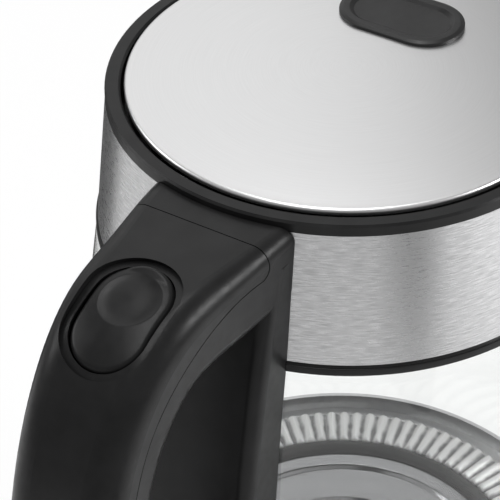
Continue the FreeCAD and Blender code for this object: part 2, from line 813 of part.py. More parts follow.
# Lid: a domed steel disc with a rolled edge over a plastic body, a liner and a gasket
lid_r = rim_inner_r - d.lid_gap
lid_crown = lid_z + d.lid_dome
dome_r = lid_r - d.lid_roll
half_dome_z = lid_z + ARC_DOME_SHARE * d.lid_dome
lid_under = lid_z - d.lid_roll
disc_edges = [
    arc(in_plane(0, lid_crown), in_plane(dome_r / 2, half_dome_z), in_plane(dome_r, lid_z)),
    arc(in_plane(dome_r, lid_z),
        in_plane(dome_r + d.lid_roll * diagonal, lid_z - d.lid_roll * round_share),
        in_plane(lid_r, lid_under)),
    line(in_plane(lid_r, lid_under), in_plane(lid_r, hinge_z)),
    line(in_plane(lid_r, hinge_z), in_plane(lid_r - d.sheet, hinge_z)),
    line(in_plane(lid_r - d.sheet, hinge_z), in_plane(lid_r - d.sheet, lid_z - d.sheet)),
    arc(in_plane(lid_r - d.sheet, lid_z - d.sheet), in_plane(dome_r / 2, half_dome_z - d.sheet),
        in_plane(0, lid_crown - d.sheet)),
    line(in_plane(0, lid_crown - d.sheet), in_plane(0, lid_crown)),
]
disc = feature("disc_turned", revolved_wire(disc_edges))


def oval(name, grow, low, height):
    """An upright oval post about the knob's centre, long across the handle's line."""
    rim = doc.addObject("Part::Ellipse", f"{name}_rim")
    rim.setExpression("MajorRadius", (d.knob_half_length + grow).text)
    rim.setExpression("MinorRadius", (d.knob_half_width + grow).text)
    place(rim, (-d.knob_offset, 0, low), ((0, 0, 1), 90))
    post = doc.addObject("Part::Extrusion", name)
    post.Base = rim
    post.DirMode = "Custom"
    post.Dir = FreeCAD.Vector(0, 0, 1)
    post.setExpression("LengthFwd", as_size(height).text)
    post.Solid = True
    return post


lid_top = lid_z - d.hinge_drop / 2 + d.fit / 2
knob_top = lid_crown + d.knob_rise
keep("lid_disc", cut("lid_disc_cut", disc, [oval("knob_hole", d.fit, lid_top, knob_top - lid_top)]))
knob_post = oval("knob_post", 0, lid_top, knob_top - lid_top)
knob_dish = oval("knob_dish", -d.knob_rim, knob_top - d.knob_recess, d.knob_recess)
keep("lid_knob", cut("lid_knob_cut", knob_post, [knob_dish]))

lid_body_r = lid_r - d.lid_inset
lid_foot = lid_z - d.lid_depth
bay_x = hinge_x - d.hinge_bay
bay_half = d.hinge_half_span + d.lid_wall
lid_plate_under = lid_top - d.lid_wall
lid_cup = turned("lid_cup", [
    (0, lid_top),
    (lid_body_r, lid_top),
    (lid_body_r, lid_foot),
    (lid_body_r - d.lid_wall, lid_foot),
    (lid_body_r - d.lid_wall, lid_plate_under),
    (0, lid_plate_under),
])
hinge_bay = block("hinge_bay", (bay_x, -bay_half, lid_foot), (d.rim_outer_r, bay_half, lid_crown))
bay_wall = block("bay_wall", (bay_x - d.lid_wall, -bay_half, lid_foot), (bay_x, bay_half, lid_plate_under))
spring_y = d.hinge_half_span - 2 * d.post_width - d.spring_length
knuckle_end = d.hinge_half_span - d.post_width - 2 * d.fit
arm_low = hinge_z - d.knuckle_r / 2
arm_high = hinge_z + d.knuckle_r / 2
tail_x = rim_inner_r - d.tail_inset
lid_arms = []
for name, low_y, high_y in (("long", -knuckle_end, spring_y - 2 * d.fit),
                            ("short", spring_y + d.spring_length + 2 * d.fit, knuckle_end)):
    lid_arms += [
        cylinder(f"{name}_knuckle", d.knuckle_r, high_y - low_y, (hinge_x, low_y, hinge_z), along_y),
        block(f"{name}_arm", (bay_x - d.lid_wall, low_y, arm_low), (hinge_x, high_y, arm_high)),
    ]
lid_arms += [
    block("tail_arm", (hinge_x, -d.latch_half_width, arm_low), (tail_x, d.latch_half_width, arm_high)),
    block("tail", (tail_x - d.tail_thickness, -d.latch_half_width, latch_z),
          (tail_x, d.latch_half_width, arm_high)),
]
knuckle_bore = cylinder("knuckle_bore", d.hinge_pin_r + d.running_fit, 2 * d.hinge_half_span,
                        (hinge_x, -d.hinge_half_span, hinge_z), along_y)
lid_shell = cut("lid_shell", lid_cup, [hinge_bay])
keep("lid_body", cut("lid_body_cut", fuse("lid_shell_armed", [lid_shell, bay_wall] + lid_arms),
                     [knuckle_bore]))
liner_r = lid_body_r - d.lid_wall - d.fit
liner_bay = block("liner_bay", (bay_x - d.lid_wall - d.fit, -bay_half, lid_foot),
                  (d.rim_outer_r, bay_half, lid_crown))
liner_disc = cylinder("liner_disc", liner_r, d.liner_thickness, (0, 0, lid_foot))
keep("lid_liner", cut("lid_liner_cut", liner_disc, [liner_bay]))
gasket_tube = tube("gasket_tube", lid_body_r, lid_body_r + d.gasket_width, d.gasket_height,
                   (0, 0, lid_foot + d.gasket_height))
gasket_bay = block("gasket_bay", (bay_x, -bay_half, lid_foot), (d.rim_outer_r, bay_half, lid_crown))
keep("lid_gasket", cut("lid_gasket_cut", gasket_tube, [gasket_bay]))

# Hinge pin held in the posts, and the lid spring wound round it
keep("hinge_pin", cylinder("hinge_rod", d.hinge_pin_r, 2 * d.hinge_half_span - 2 * d.fit,
                           (hinge_x, d.fit - d.hinge_half_span, hinge_z), along_y))
coil_r = d.hinge_pin_r + 2 * d.running_fit
keep("lid_spring", tube("coil", coil_r, coil_r + d.spring_wire, d.spring_length,
                        (hinge_x, spring_y, hinge_z), along_y))


def loop_point(reach, start_x, edge, power, degrees):
    """A point of a superelliptic quarter from the bridge or the foot out to the handle's middle."""
    angle = math.radians(degrees)
    middle = (lid_z - d.handle_middle).value
    x = start_x + (reach - start_x) * math.sin(angle) ** (2 / power)
    z = middle + (edge - middle) * math.cos(angle) ** (2 / power)
    return FreeCAD.Vector(x, 0, z)


def handle_stations():
    """Pairs of outer and inner points down the handle, from the bridge round to the foot."""
    top, under = (lid_z - d.bridge_top).value, (lid_z - d.bridge_under).value
    upper, lower = (lid_z - d.foot_upper).value, (lid_z - d.foot_lower).value
    reach, loop = d.handle_reach.value, d.loop_reach.value
    outer, inner = d.outer_power.value, d.inner_power.value
    start, bridge, foot = handle_root_x.value, d.bridge_end_x.value, d.foot_end_x.value
    pairs = []
    for i in range(BRIDGE_STATIONS):
        x = start + (bridge - start) * i / BRIDGE_STATIONS
        pairs.append((FreeCAD.Vector(x, 0, top), FreeCAD.Vector(x, 0, under)))
    for angle in LOOP_ANGLES + (90,):
        pairs.append((loop_point(reach, bridge, top, outer, angle),
                      loop_point(loop, bridge, under, inner, angle)))
    for angle in reversed(LOOP_ANGLES):
        pairs.append((loop_point(reach, foot, lower, outer, angle),
                      loop_point(loop, foot, upper, inner, angle)))
    pairs.append((FreeCAD.Vector(start, 0, lower), FreeCAD.Vector(start, 0, upper)))
    return pairs


def in_upper_half(index):
    return index <= BRIDGE_STATIONS + len(LOOP_ANGLES)


def root_share(x):
    """1 at the collar, falling to 0 where the handle's taper ends."""
    end_x = d.taper_end_x.value
    return min(max((end_x - x) / (end_x - d.rim_outer_r.value), 0), 1)


def handle_half_width(index, x):
    """Tapers from the root to the grip, and widens again into the foot."""
    root, grip, foot = d.root_half_width.value, d.grip_half_width.value, d.foot_half_width.value
    return grip + ((root if in_upper_half(index) else foot) - grip) * root_share(x)


def handle_round(index, x):
    """The outer corners are tighter at the collar than along the grip."""
    root, grip = d.root_round.value, d.outer_round.value
    return grip + (root - grip) * root_share(x) if in_upper_half(index) else grip


def handle_section(outer, inner, half_width, corner, inset):
    """A rounded rectangle across the handle, with softer corners outside than inside."""
    axis = (outer - inner).normalize()
    high, low = outer - axis * inset, inner + axis * inset
    half = half_width - inset
    soft, firm = corner - inset, d.inner_round.value - inset
    lean = round_share

    def at(base, across, along):
        return base + FreeCAD.Vector(0, across, 0) + axis * along

    return Part.Wire([
        line(at(high, soft - half, 0), at(high, half - soft, 0)),
        arc(at(high, half - soft, 0), at(high, half - soft * lean, -soft * lean), at(high, half, -soft)),
        line(at(high, half, -soft), at(low, half, firm)),
        arc(at(low, half, firm), at(low, half - firm * lean, firm * lean), at(low, half - firm, 0)),
        line(at(low, half - firm, 0), at(low, firm - half, 0)),
        arc(at(low, firm - half, 0), at(low, firm * lean - half, firm * lean), at(low, -half, firm)),
        line(at(low, -half, firm), at(high, -half, -soft)),
        arc(at(high, -half, -soft), at(high, soft * lean - half, -soft * lean), at(high, soft - half, 0)),
    ])


def handle_loft(pairs, first, last, inset):
    sections = []
    for i, (outer, inner) in list(enumerate(pairs))[first:last + 1]:
        x = (outer.x + inner.x) / 2
        sections.append(handle_section(outer, inner, handle_half_width(i, x), handle_round(i, x), inset))
    return Part.makeLoft(sections, True, False)


def across(edges, half):
    """A prism from edges that close in the XZ plane, as wide as half on each side."""
    face = Part.Face(Part.Wire(Part.__sortEdges__(edges)))
    face.translate(FreeCAD.Vector(0, -half, 0))
    return face.extrude(FreeCAD.Vector(0, 2 * half, 0))


def outside_parting(pairs, gap):
    """The space outside the parting line, which runs across the bridge and down the side."""
    depth = d.parting_depth.value + gap
    seam = d.seam_x.value - gap
    top = (lid_z + CLEAR).value
    turn_z = (lid_z - d.bridge_top - d.seam_depth).value - gap
    bend = d.seam_round.value
    bend_top = FreeCAD.Vector(seam, 0, turn_z + bend)
    bend_middle = FreeCAD.Vector(seam + bend * round_share, 0, turn_z + bend * round_share)
    parting = [FreeCAD.Vector(seam + bend, 0, turn_z)]
    for outer, inner in pairs[BRIDGE_STATIONS + 1:-2]:
        parting.append(outer - (outer - inner).normalize() * depth)
    curve = Part.BSplineCurve()
    curve.interpolate(parting)
    corner = FreeCAD.Vector(seam, 0, top)
    far_top = FreeCAD.Vector(d.handle_reach.value + CLEAR, 0, top)
    far_foot = FreeCAD.Vector(d.handle_reach.value + CLEAR, 0, -CLEAR)
    near_foot = FreeCAD.Vector(parting[-1].x, 0, -CLEAR)
    edges = [
        curve.toShape(),
        line(parting[-1], near_foot),
        line(near_foot, far_foot),
        line(far_foot, far_top),
        line(far_top, corner),
        line(corner, bend_top),
        arc(bend_top, bend_middle, parting[0]),
    ]
    return across(edges, CLEAR)


def body_envelope():
    """The jug's outside with a fit, which the handle is cut to."""
    fit = d.fit.value
    points = [
        in_plane(0, 0),
        in_plane(skirt_foot_r + fit, 0),
        in_plane(skirt_foot_r + fit, jug_z),
        in_plane(skirt_r + fit, jug_z + d.skirt_round),
        in_plane(skirt_r + fit, skirt_top + fit),
        in_plane(d.glass_r + fit, skirt_top + fit),
        in_plane(d.glass_r + fit, straight_z),
    ]
    upper = [
        in_plane(glass_shoulder_r + fit, neck_z),
        in_plane(lower_ring_r + fit, neck_z),
        in_plane(lower_ring_r + fit, collar_z),
        in_plane(collar_foot_r + fit, collar_z),
        in_plane(d.rim_outer_r + fit, flange_z),
        in_plane(d.rim_outer_r + fit, lid_z + CLEAR),
        in_plane(0, lid_z + CLEAR),
    ]
    edges = [line(a, b) for a, b in zip(points, points[1:])]
    edges.append(arc(points[-1], in_plane(belly_r + fit, belly_z), upper[0]))
    edges += [line(a, b) for a, b in zip(upper, upper[1:])]
    edges.append(line(upper[-1], points[0]))
    return revolved_wire(edges)


def stadium(radius, height, low):
    """An upright slot-shaped post about the button's own axis, before it is tilted."""
    half = d.button_span.value / 2
    base = FreeCAD.Vector(-half, 0, low)
    far_base = FreeCAD.Vector(half, 0, low)
    ends = [Part.makeCylinder(radius, height, centre) for centre in (base, far_base)]
    middle = Part.makeBox(2 * half, 2 * radius, height, base - FreeCAD.Vector(0, radius, 0))
    return middle.fuse(ends).removeSplitter()


def on_button(shape):
    """Carry a shape from the button's own axis to its place on the handle."""
    spin = FreeCAD.Rotation(FreeCAD.Vector(0, 1, 0), d.button_tilt.value)
    spot = FreeCAD.Vector(d.button_x.value, 0, (lid_z - d.button_drop).value)
    shape.Placement = FreeCAD.Placement(spot, spin).multiply(shape.Placement)
    return shape


# Handle frame: the bridge, the inner half of the loop and the strip along the body
stations = handle_stations()
last_station = len(stations) - 1
handle_skin = handle_loft(stations, 0, last_station, 0)
handle_hollow = handle_loft(stations, BRIDGE_STATIONS - 1, last_station - 2, d.handle_wall.value)
envelope = body_envelope()
strip_top = in_plane(d.rim_outer_r + d.strip_top_rise, lid_z - d.bridge_top - d.outer_round)
strip_middle = in_plane(belly_r + d.strip_middle_rise, lid_z - d.handle_middle)
strip_foot = in_plane(skirt_r + d.strip_foot_rise, lid_z - d.foot_lower + d.outer_round)
strip_back_top = in_plane(handle_root_x, strip_top.z)
strip_back_foot = in_plane(handle_root_x, strip_foot.z)
strip = across([
    arc(strip_top, strip_middle, strip_foot),
    line(strip_foot, strip_back_foot),
    line(strip_back_foot, strip_back_top),
    line(strip_back_top, strip_top),
], d.root_half_width.value)
strip_edges = [
    edge for edge in strip.Edges
    if edge.Curve.TypeId == "Part::GeomCircle" and edge.Length > d.handle_middle.value
]
strip = strip.makeFillet(d.strip_round.value, strip_edges)
step_x = d.bridge_end_x - d.button_r
latch_way = Part.makeBox(
    (step_x + 2 * d.latch_thickness).value, 2 * latch_slot_half.value,
    (latch_slot_high - latch_slot_low).value,
    FreeCAD.Vector(0, -latch_slot_half.value, latch_slot_low.value))
switch_pivot = FreeCAD.Vector(d.switch_x.value, 0, (lid_z - d.switch_drop).value)
switch_half = d.switch_half_width.value
switch_room = d.switch_room.value
switch_slot = Part.makeBox(2 * switch_room, 2 * switch_half + 2 * d.seam_gap.value, CLEAR,
                           FreeCAD.Vector(-switch_room, -switch_half - d.seam_gap.value, -CLEAR))
switch_slot.Placement = FreeCAD.Placement(
    switch_pivot, FreeCAD.Rotation(FreeCAD.Vector(0, 1, 0), -d.switch_tilt.value))
drill_r = (d.screw_r + d.running_fit).value
drill_length = (d.screw_length + d.screw_head_height).value
screw_drill = [
    Part.makeCylinder(drill_r, drill_length, FreeCAD.Vector(*[as_size(c).value for c in site]),
                      FreeCAD.Vector(1, 0, 0))
    for site in handle_screw_sites
]
frame_shape = handle_skin.fuse(strip).cut(outside_parting(stations, 0))
frame_shape = frame_shape.cut([envelope, handle_hollow, latch_way, switch_slot] + screw_drill)
keep("handle_frame", feature("frame", frame_shape))

# Handle cover: the outer half of the loop, with the button's flanged opening
button_hole_r = d.button_r.value + d.button_clearance.value
flange_r = button_hole_r + d.flange_width.value
button_low = -d.parting_depth.value
last_upper = BRIDGE_STATIONS + len(LOOP_ANGLES)
button_well = on_button(stadium(flange_r, CLEAR, button_low))
button_well = button_well.cut(handle_loft(stations, 1, last_upper, d.flange_depth.value))
button_hole = on_button(stadium(button_hole_r, CLEAR, button_low))
cover_shape = handle_skin.common(outside_parting(stations, -d.seam_gap.value))
cover_shape = cover_shape.cut([envelope, handle_hollow, latch_way, button_well, button_hole, switch_slot])
keep("handle_cover", feature("cover", cover_shape))

handle_screw_items = []
for i, site in enumerate(handle_screw_sites):
    head = cylinder(f"handle_screw_head{i}", d.screw_head_r, d.screw_head_height,
                    (site[0] - d.screw_head_height, site[1], site[2]), along_x)
    shank = cylinder(f"handle_screw_shank{i}", d.screw_r, d.screw_length, site, along_x)
    handle_screw_items.append(fuse(f"handle_screw{i}", [head, shank]))
keep("handle_screws", group("handle_screws_group", handle_screw_items))

# Release button: a slot-shaped cap that follows the handle, with a round dimple and a stem
cap = on_button(stadium(d.button_r.value, CLEAR, -d.button_depth.value))
cap = cap.common(handle_loft(stations, 1, last_upper, d.button_sink.value))
dimple_sag = d.dimple_depth.value
ball_r = (d.dimple_r.value ** 2 + dimple_sag ** 2) / (2 * dimple_sag)
dimple = on_button(Part.makeSphere(
    ball_r, FreeCAD.Vector(-d.dimple_shift.value, 0, ball_r - dimple_sag - d.button_sink.value)))
stem = on_button(Part.makeCylinder(
    d.stem_r.value, d.stem_length.value, FreeCAD.Vector(0, 0, -d.button_depth.value - d.stem_length.value)))
keep("release_button", feature("button", cap.cut(dimple).fuse(stem)))

# Lid latch: a sliding plate from behind the lid's tail to a window under the button's stem
latch_tip_x = tail_x + d.latch_tip_gap
latch_low_z = latch_z - d.latch_step
latch_half = d.latch_half_width
stem_lean = math.sin(math.radians(d.button_tilt.value))
stem_foot_x = d.button_x - (d.button_depth + d.stem_length) * stem_lean
window_end_x = stem_foot_x + 2 * d.stem_r
latch_parts = [
    block("latch_tongue", (latch_tip_x, -latch_half, latch_z),
          (step_x + d.latch_thickness, latch_half, latch_z + d.latch_thickness)),
    block("latch_web", (step_x, -latch_half, latch_low_z),
          (step_x + d.latch_thickness, latch_half, latch_z + d.latch_thickness)),
    block("latch_plate", (step_x, -latch_half, latch_low_z),
          (window_end_x + d.latch_thickness, latch_half, latch_low_z + d.latch_thickness)),
]
latch_window = block("latch_window",
                     (stem_foot_x - 2 * d.stem_r - d.latch_thickness, -d.stem_r - d.fit, latch_low_z),
                     (window_end_x, d.stem_r + d.fit, latch_low_z + d.latch_thickness))
keep("lid_latch", cut("lid_latch_cut", fuse("latch_fused", latch_parts), [latch_window]))

# Power switch: a paddle on a pivot inside the handle's foot
pivot = Part.makeCylinder(d.switch_pivot_r.value, 2 * switch_half, FreeCAD.Vector(0, -switch_half, 0),
                          FreeCAD.Vector(0, 1, 0))
paddle = Part.makeBox(d.switch_thickness.value, 2 * switch_half, d.switch_length.value,
                      FreeCAD.Vector(-d.switch_thickness.value / 2, -switch_half, -d.switch_length.value))
switch_shape = pivot.fuse(paddle)
switch = feature("switch", switch_shape)
switch.Placement = FreeCAD.Placement(
    switch_pivot, FreeCAD.Rotation(FreeCAD.Vector(0, 1, 0), -d.switch_tilt.value))
keep("switch_lever", switch)

doc.recompute()
faults = [item.Label for item in doc.Objects if "Invalid" in item.State or "Error" in item.State]
for label, item in nodes.items():
    if item.Shape.isNull() or not item.Shape.isValid() or not item.Shape.Solids:
        faults.append(label)
if faults:
    raise SystemExit("not built: " + ", ".join(faults))

os.makedirs("parts", exist_ok=True)
for label, item in nodes.items():
    item.Shape.exportStep(f"parts/{label}.step")
    print(f"{label}: {len(item.Shape.Solids)} solids, {item.Shape.Volume:.0f} mm3")
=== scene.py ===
import math

import bmesh
import bpy
import numpy as np
from mathutils import Matrix, Vector


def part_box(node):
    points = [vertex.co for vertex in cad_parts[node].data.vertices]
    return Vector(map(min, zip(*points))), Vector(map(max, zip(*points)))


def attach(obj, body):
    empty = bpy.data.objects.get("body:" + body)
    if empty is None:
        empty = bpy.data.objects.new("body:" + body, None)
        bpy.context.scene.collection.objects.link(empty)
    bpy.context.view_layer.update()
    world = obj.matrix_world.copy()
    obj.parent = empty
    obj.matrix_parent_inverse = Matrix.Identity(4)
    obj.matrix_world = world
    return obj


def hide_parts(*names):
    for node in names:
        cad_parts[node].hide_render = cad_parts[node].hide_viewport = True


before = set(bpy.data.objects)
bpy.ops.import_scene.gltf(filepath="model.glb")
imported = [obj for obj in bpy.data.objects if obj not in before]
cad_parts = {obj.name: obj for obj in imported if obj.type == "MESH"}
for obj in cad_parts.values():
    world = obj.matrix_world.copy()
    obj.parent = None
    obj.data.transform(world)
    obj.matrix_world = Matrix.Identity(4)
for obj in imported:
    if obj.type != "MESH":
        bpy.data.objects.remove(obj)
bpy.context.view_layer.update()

# Power base: a shallow black dish moulded in satin plastic, closed below by a screwed plate.
# Four rubber feet carry it, and a round connector stands up through its deck.

MM = 0.001


class Wire:
    """A node's socket: arithmetic on it, with numbers or other sockets, adds Math nodes."""

    def __init__(self, nodes, socket):
        self.nodes = nodes
        self.socket = socket

    def math(self, operation, *operands):
        return self.nodes.add("ShaderNodeMath", {"operation": operation}, operands)

    def __add__(self, other):
        return self.math("ADD", self, other)

    def __sub__(self, other):
        return self.math("SUBTRACT", self, other)

    def __rsub__(self, other):
        return self.math("SUBTRACT", other, self)

    def __mul__(self, other):
        return self.math("MULTIPLY", self, other)

    def __truediv__(self, other):
        return self.math("DIVIDE", self, other)

    def __rtruediv__(self, other):
        return self.math("DIVIDE", other, self)

    __radd__ = __add__
    __rmul__ = __mul__


class Nodes:
    """A node tree: any node comes from one method."""

    def __init__(self, tree):
        self.tree = tree

    def add(self, kind, settings=None, inputs=(), output=0):
        """Any node: its settings come first, then its sockets by name or place, as values or links."""
        node = self.tree.nodes.new(kind)
        for key, value in (settings or {}).items():
            setattr(node, key, value)
        pairs = inputs.items() if isinstance(inputs, dict) else enumerate(inputs)
        for key, value in pairs:
            if isinstance(value, Wire):
                self.tree.links.new(value.socket, node.inputs[key])
            else:
                node.inputs[key].default_value = value
        return Wire(self, node.outputs[output])

    def between(self, wire, low, high, start=0.3, end=0.7):
        """A pattern's start to end taken to low to high."""
        inputs = {"Value": wire, "From Min": start, "From Max": end, "To Min": low, "To Max": high}
        return self.add("ShaderNodeMapRange", None, inputs)


# Places of the Mix node's sockets when it mixes colours: three inputs and the output.
MIX_SHARE, MIX_FIRST, MIX_SECOND, MIX_COLOUR = 0, 6, 7, 2


class Finish(Nodes):
    """A material with one glossy shader: constants are set on its sockets, patterns are fed to them."""

    def __init__(self, name, constants):
        self.material = bpy.data.materials.new(name)
        self.material.use_nodes = True
        super().__init__(self.material.node_tree)
        self.shader = self.tree.nodes["Principled BSDF"]
        for socket, value in constants.items():
            self.shader.inputs[socket].default_value = value
        self.place = self.add("ShaderNodeTexCoord", output="Object")

    def feed(self, socket, wire):
        """Link a pattern to one of the shader's sockets."""
        self.tree.links.new(wire.socket, self.shader.inputs[socket])

    def noise(self, size, detail=2.0):
        """Cloudy noise whose blotches are about size metres across."""
        inputs = {"Vector": self.place, "Scale": 1 / size, "Detail": detail}
        return self.add("ShaderNodeTexNoise", None, inputs)

    def tint(self, share, dark, light):
        """A colour between two others, by a share from 0 to 1."""
        colours = {MIX_SHARE: share, MIX_FIRST: (*dark, 1), MIX_SECOND: (*light, 1)}
        return self.add("ShaderNodeMix", {"data_type": "RGBA"}, colours, MIX_COLOUR)

    def bump(self, height, depth, strength):
        """Relief that is depth metres high where the pattern is 1, shown by the share strength."""
        inputs = {"Height": height, "Distance": depth, "Strength": strength}
        self.feed("Normal", self.add("ShaderNodeBump", None, inputs))


BLUE_CAST = 1.02


def grey(level):
    """A grey with a trace of blue."""
    return (level, level, level * BLUE_CAST)


POLISH_VARIES = 0.05
PLASTIC_CLOUD = 9 * MM
PLASTIC_PATCH = 3 * MM
PLASTIC_VARIES = 0.18
PLASTIC_GRAIN_SLOPE = 0.06
PLASTIC_GRAIN_SHOWS = 0.5


def moulded(name, level, roughness, grain, sheen=0.3):
    """Moulded plastic or rubber: a fine spark-eroded grain, faint clouds of colour and of sheen."""
    made = Finish(name, {"Specular IOR Level": sheen})
    clouds = made.between(made.noise(PLASTIC_CLOUD, detail=3.0), 0, 1)
    dark, light = grey(level * (1 - PLASTIC_VARIES)), grey(level * (1 + PLASTIC_VARIES))
    made.feed("Base Color", made.tint(clouds, dark, light))
    patches = made.noise(PLASTIC_PATCH, detail=4.0)
    made.feed("Roughness", made.between(patches, roughness - POLISH_VARIES, roughness + POLISH_VARIES))
    made.bump(made.noise(grain), grain * PLASTIC_GRAIN_SLOPE, PLASTIC_GRAIN_SHOWS)
    return made


METAL_PATCH = 1.5 * MM
METAL_DARK = 0.92
METAL_LIGHT = 1.05
METAL_GRAIN_SLOPE = 0.05
METAL_GRAIN_SHOWS = 0.4


def metal(name, level, roughness, grain, blotch=4 * MM):
    """Plain metal with a fine rolled grain and a faintly uneven polish."""
    made = Finish(name, {"Metallic": 1.0})
    clouds = made.between(made.noise(blotch, detail=3.0), 0, 1)
    dark, light = [c * METAL_DARK for c in level], [c * METAL_LIGHT for c in level]
    made.feed("Base Color", made.tint(clouds, dark, light))
    patches = made.noise(METAL_PATCH, detail=3.0)
    made.feed("Roughness", made.between(patches, roughness - POLISH_VARIES, roughness + POLISH_VARIES))
    made.bump(made.noise(grain), grain * METAL_GRAIN_SLOPE, METAL_GRAIN_SHOWS)
    return made


def coat(finish, *names):
    """Put a finish on CAD nodes in place of their plain one."""
    for name in names:
        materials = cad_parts[name].data.materials
        materials.clear()
        materials.append(finish.material)


satin_black = moulded("satin_black_plastic", level=0.012, roughness=0.34, grain=0.35 * MM, sheen=0.2)
inner_black = moulded("inner_dark_plastic", level=0.03, roughness=0.5, grain=0.5 * MM)
soft_rubber = moulded("moulded_rubber", level=0.02, roughness=0.62, grain=0.4 * MM)
plated_steel = metal("plated_steel", level=(0.62, 0.62, 0.63), roughness=0.24, grain=0.2 * MM)
plated_brass = metal("plated_brass", level=(0.75, 0.56, 0.27), roughness=0.28, grain=0.2 * MM)
coat(satin_black, "base_shell", "base_plate")
coat(soft_rubber, "base_feet", "cord_inlet")
coat(plated_steel, "base_screws")
coat(inner_black, "base_connector")
coat(plated_brass, "base_contacts")

# Lower housing: the silver skirt that holds the glass, its screwed bottom cover and the socket.
# The boil-dry and steam switches sit in a can above the socket.

SILVER = (0.6, 0.6, 0.61)
silver_paint = metal("satin_silver_paint", SILVER, roughness=0.4, grain=0.3 * MM, blotch=0.7 * MM)
coat(silver_paint, "lower_skirt")
coat(satin_black, "bottom_cover")
coat(inner_black, "jug_socket", "control_unit")
coat(plated_steel, "cover_screws")
coat(plated_brass, "jug_contacts")

# Floor of the jug: a pressed steel heating plate with raised beads, in a dark silicone seal.
# A cast ring element is brazed under it.


def rounded(corners, steps=6, closed=False):
    """A profile from (radius, height, fillet) corners: each corner becomes an arc that is tangent to
    both its sides, drawn as the turn from one tangent point to the other about the fillet's centre."""
    spots = np.array([c[:2] for c in corners], float)
    pieces = []
    last = len(corners) - 1
    for i, (_, _, fillet) in enumerate(corners):
        if fillet == 0 or (not closed and i in (0, last)):
            pieces.append(spots[i:i + 1])
            continue
        to_last = spots[i - 1] - spots[i]
        to_next = spots[(i + 1) % len(corners)] - spots[i]
        to_last /= np.linalg.norm(to_last)
        to_next /= np.linalg.norm(to_next)
        half = math.acos(np.clip(to_last @ to_next, -1, 1)) / 2
        reach = fillet / math.tan(half)
        middle = to_last + to_next
        centre = spots[i] + middle / np.linalg.norm(middle) * fillet / math.sin(half)
        start = spots[i] + to_last * reach - centre
        end = spots[i] + to_next * reach - centre
        turn = math.pi - 2 * half
        share = np.linspace(0, 1, steps)[:, None]
        sweep = np.sin((1 - share) * turn) * start + np.sin(share * turn) * end
        pieces.append(centre + sweep / math.sin(turn))
    return np.concatenate(pieces)


def skin(name, points, close_rows=False, close_columns=False):
    """A mesh on a grid of points, rows by columns, joined into quads and closed round where asked."""
    rows, columns = points.shape[:2]
    index = np.arange(rows * columns).reshape(rows, columns)
    if close_rows:
        index = np.vstack([index, index[:1]])
    if close_columns:
        index = np.hstack([index, index[:, :1]])
    quads = np.stack([index[:-1, :-1], index[:-1, 1:], index[1:, 1:], index[1:, :-1]], axis=-1)
    mesh = bpy.data.meshes.new(name)
    mesh.from_pydata(points.reshape(-1, 3).tolist(), [], quads.reshape(-1, 4).tolist())
    return mesh


SHARP = math.radians(38)
SAME_POINT = 0.0005 * MM


def piece(name, mesh, finish, body, slot, *nodes):
    """A finished piece: doubles merged, faces outwards, smooth up to sharp edges, riding on its body."""
    work = bmesh.new()
    work.from_mesh(mesh)
    bmesh.ops.remove_doubles(work, verts=work.verts, dist=SAME_POINT)
    bmesh.ops.recalc_face_normals(work, faces=work.faces)
    work.to_mesh(mesh)
    work.free()
    mesh.polygons.foreach_set("use_smooth", np.ones(len(mesh.polygons), bool))
    mesh.set_sharp_from_angle(angle=SHARP)
    mesh.materials.append(finish.material)
    made = bpy.data.objects.new(name, mesh)
    bpy.context.scene.collection.objects.link(made)
    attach(made, body)
    if nodes:
        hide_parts(*nodes)


def lathe(name, profile, count=192, closed=True):
    """The profile (radius, height) turned about Z: x = r cos a, y = r sin a at equal steps of a."""
    angle = np.arange(count) * 2 * math.pi / count
    r, z = profile[:, :1], profile[:, 1:]
    points = np.stack([r * np.cos(angle), r * np.sin(angle), z + 0 * angle], axis=-1)
    return skin(name, points, close_rows=closed, close_columns=True)


def radial(finish):
    """Distance from the jug's axis, the turn about it and the height, as three sockets."""
    split = finish.add("ShaderNodeSeparateXYZ", None, [finish.place])
    node = split.socket.node
    x, y, z = (Wire(finish, node.outputs[i]) for i in range(3))
    square = x * x + y * y
    return square.math("SQRT", square), y.math("ARCTAN2", y, x), z


STREAK_SHOWS = 0.3


def spun(name, level, roughness, along, across, contrast, depth):
    """Brushed steel: streaks round the axis, along radians by across metres, in tone, polish and relief."""
    made = Finish(name, {"Metallic": 1.0})
    r, turn, z = radial(made)
    run = made.add("ShaderNodeCombineXYZ", None, [turn / along, (r + z) / across, 0.0])
    streak = made.add("ShaderNodeTexNoise", None, {"Vector": run, "Scale": 1.0, "Detail": 4.0})
    tone = made.between(streak, 0, 1)
    dark, light = [c * (1 - contrast) for c in level], [c * (1 + contrast) for c in level]
    made.feed("Base Color", made.tint(tone, dark, light))
    made.feed("Roughness", made.between(streak, roughness + contrast / 2, roughness - contrast / 2))
    made.bump(streak, depth, STREAK_SHOWS)
    return made


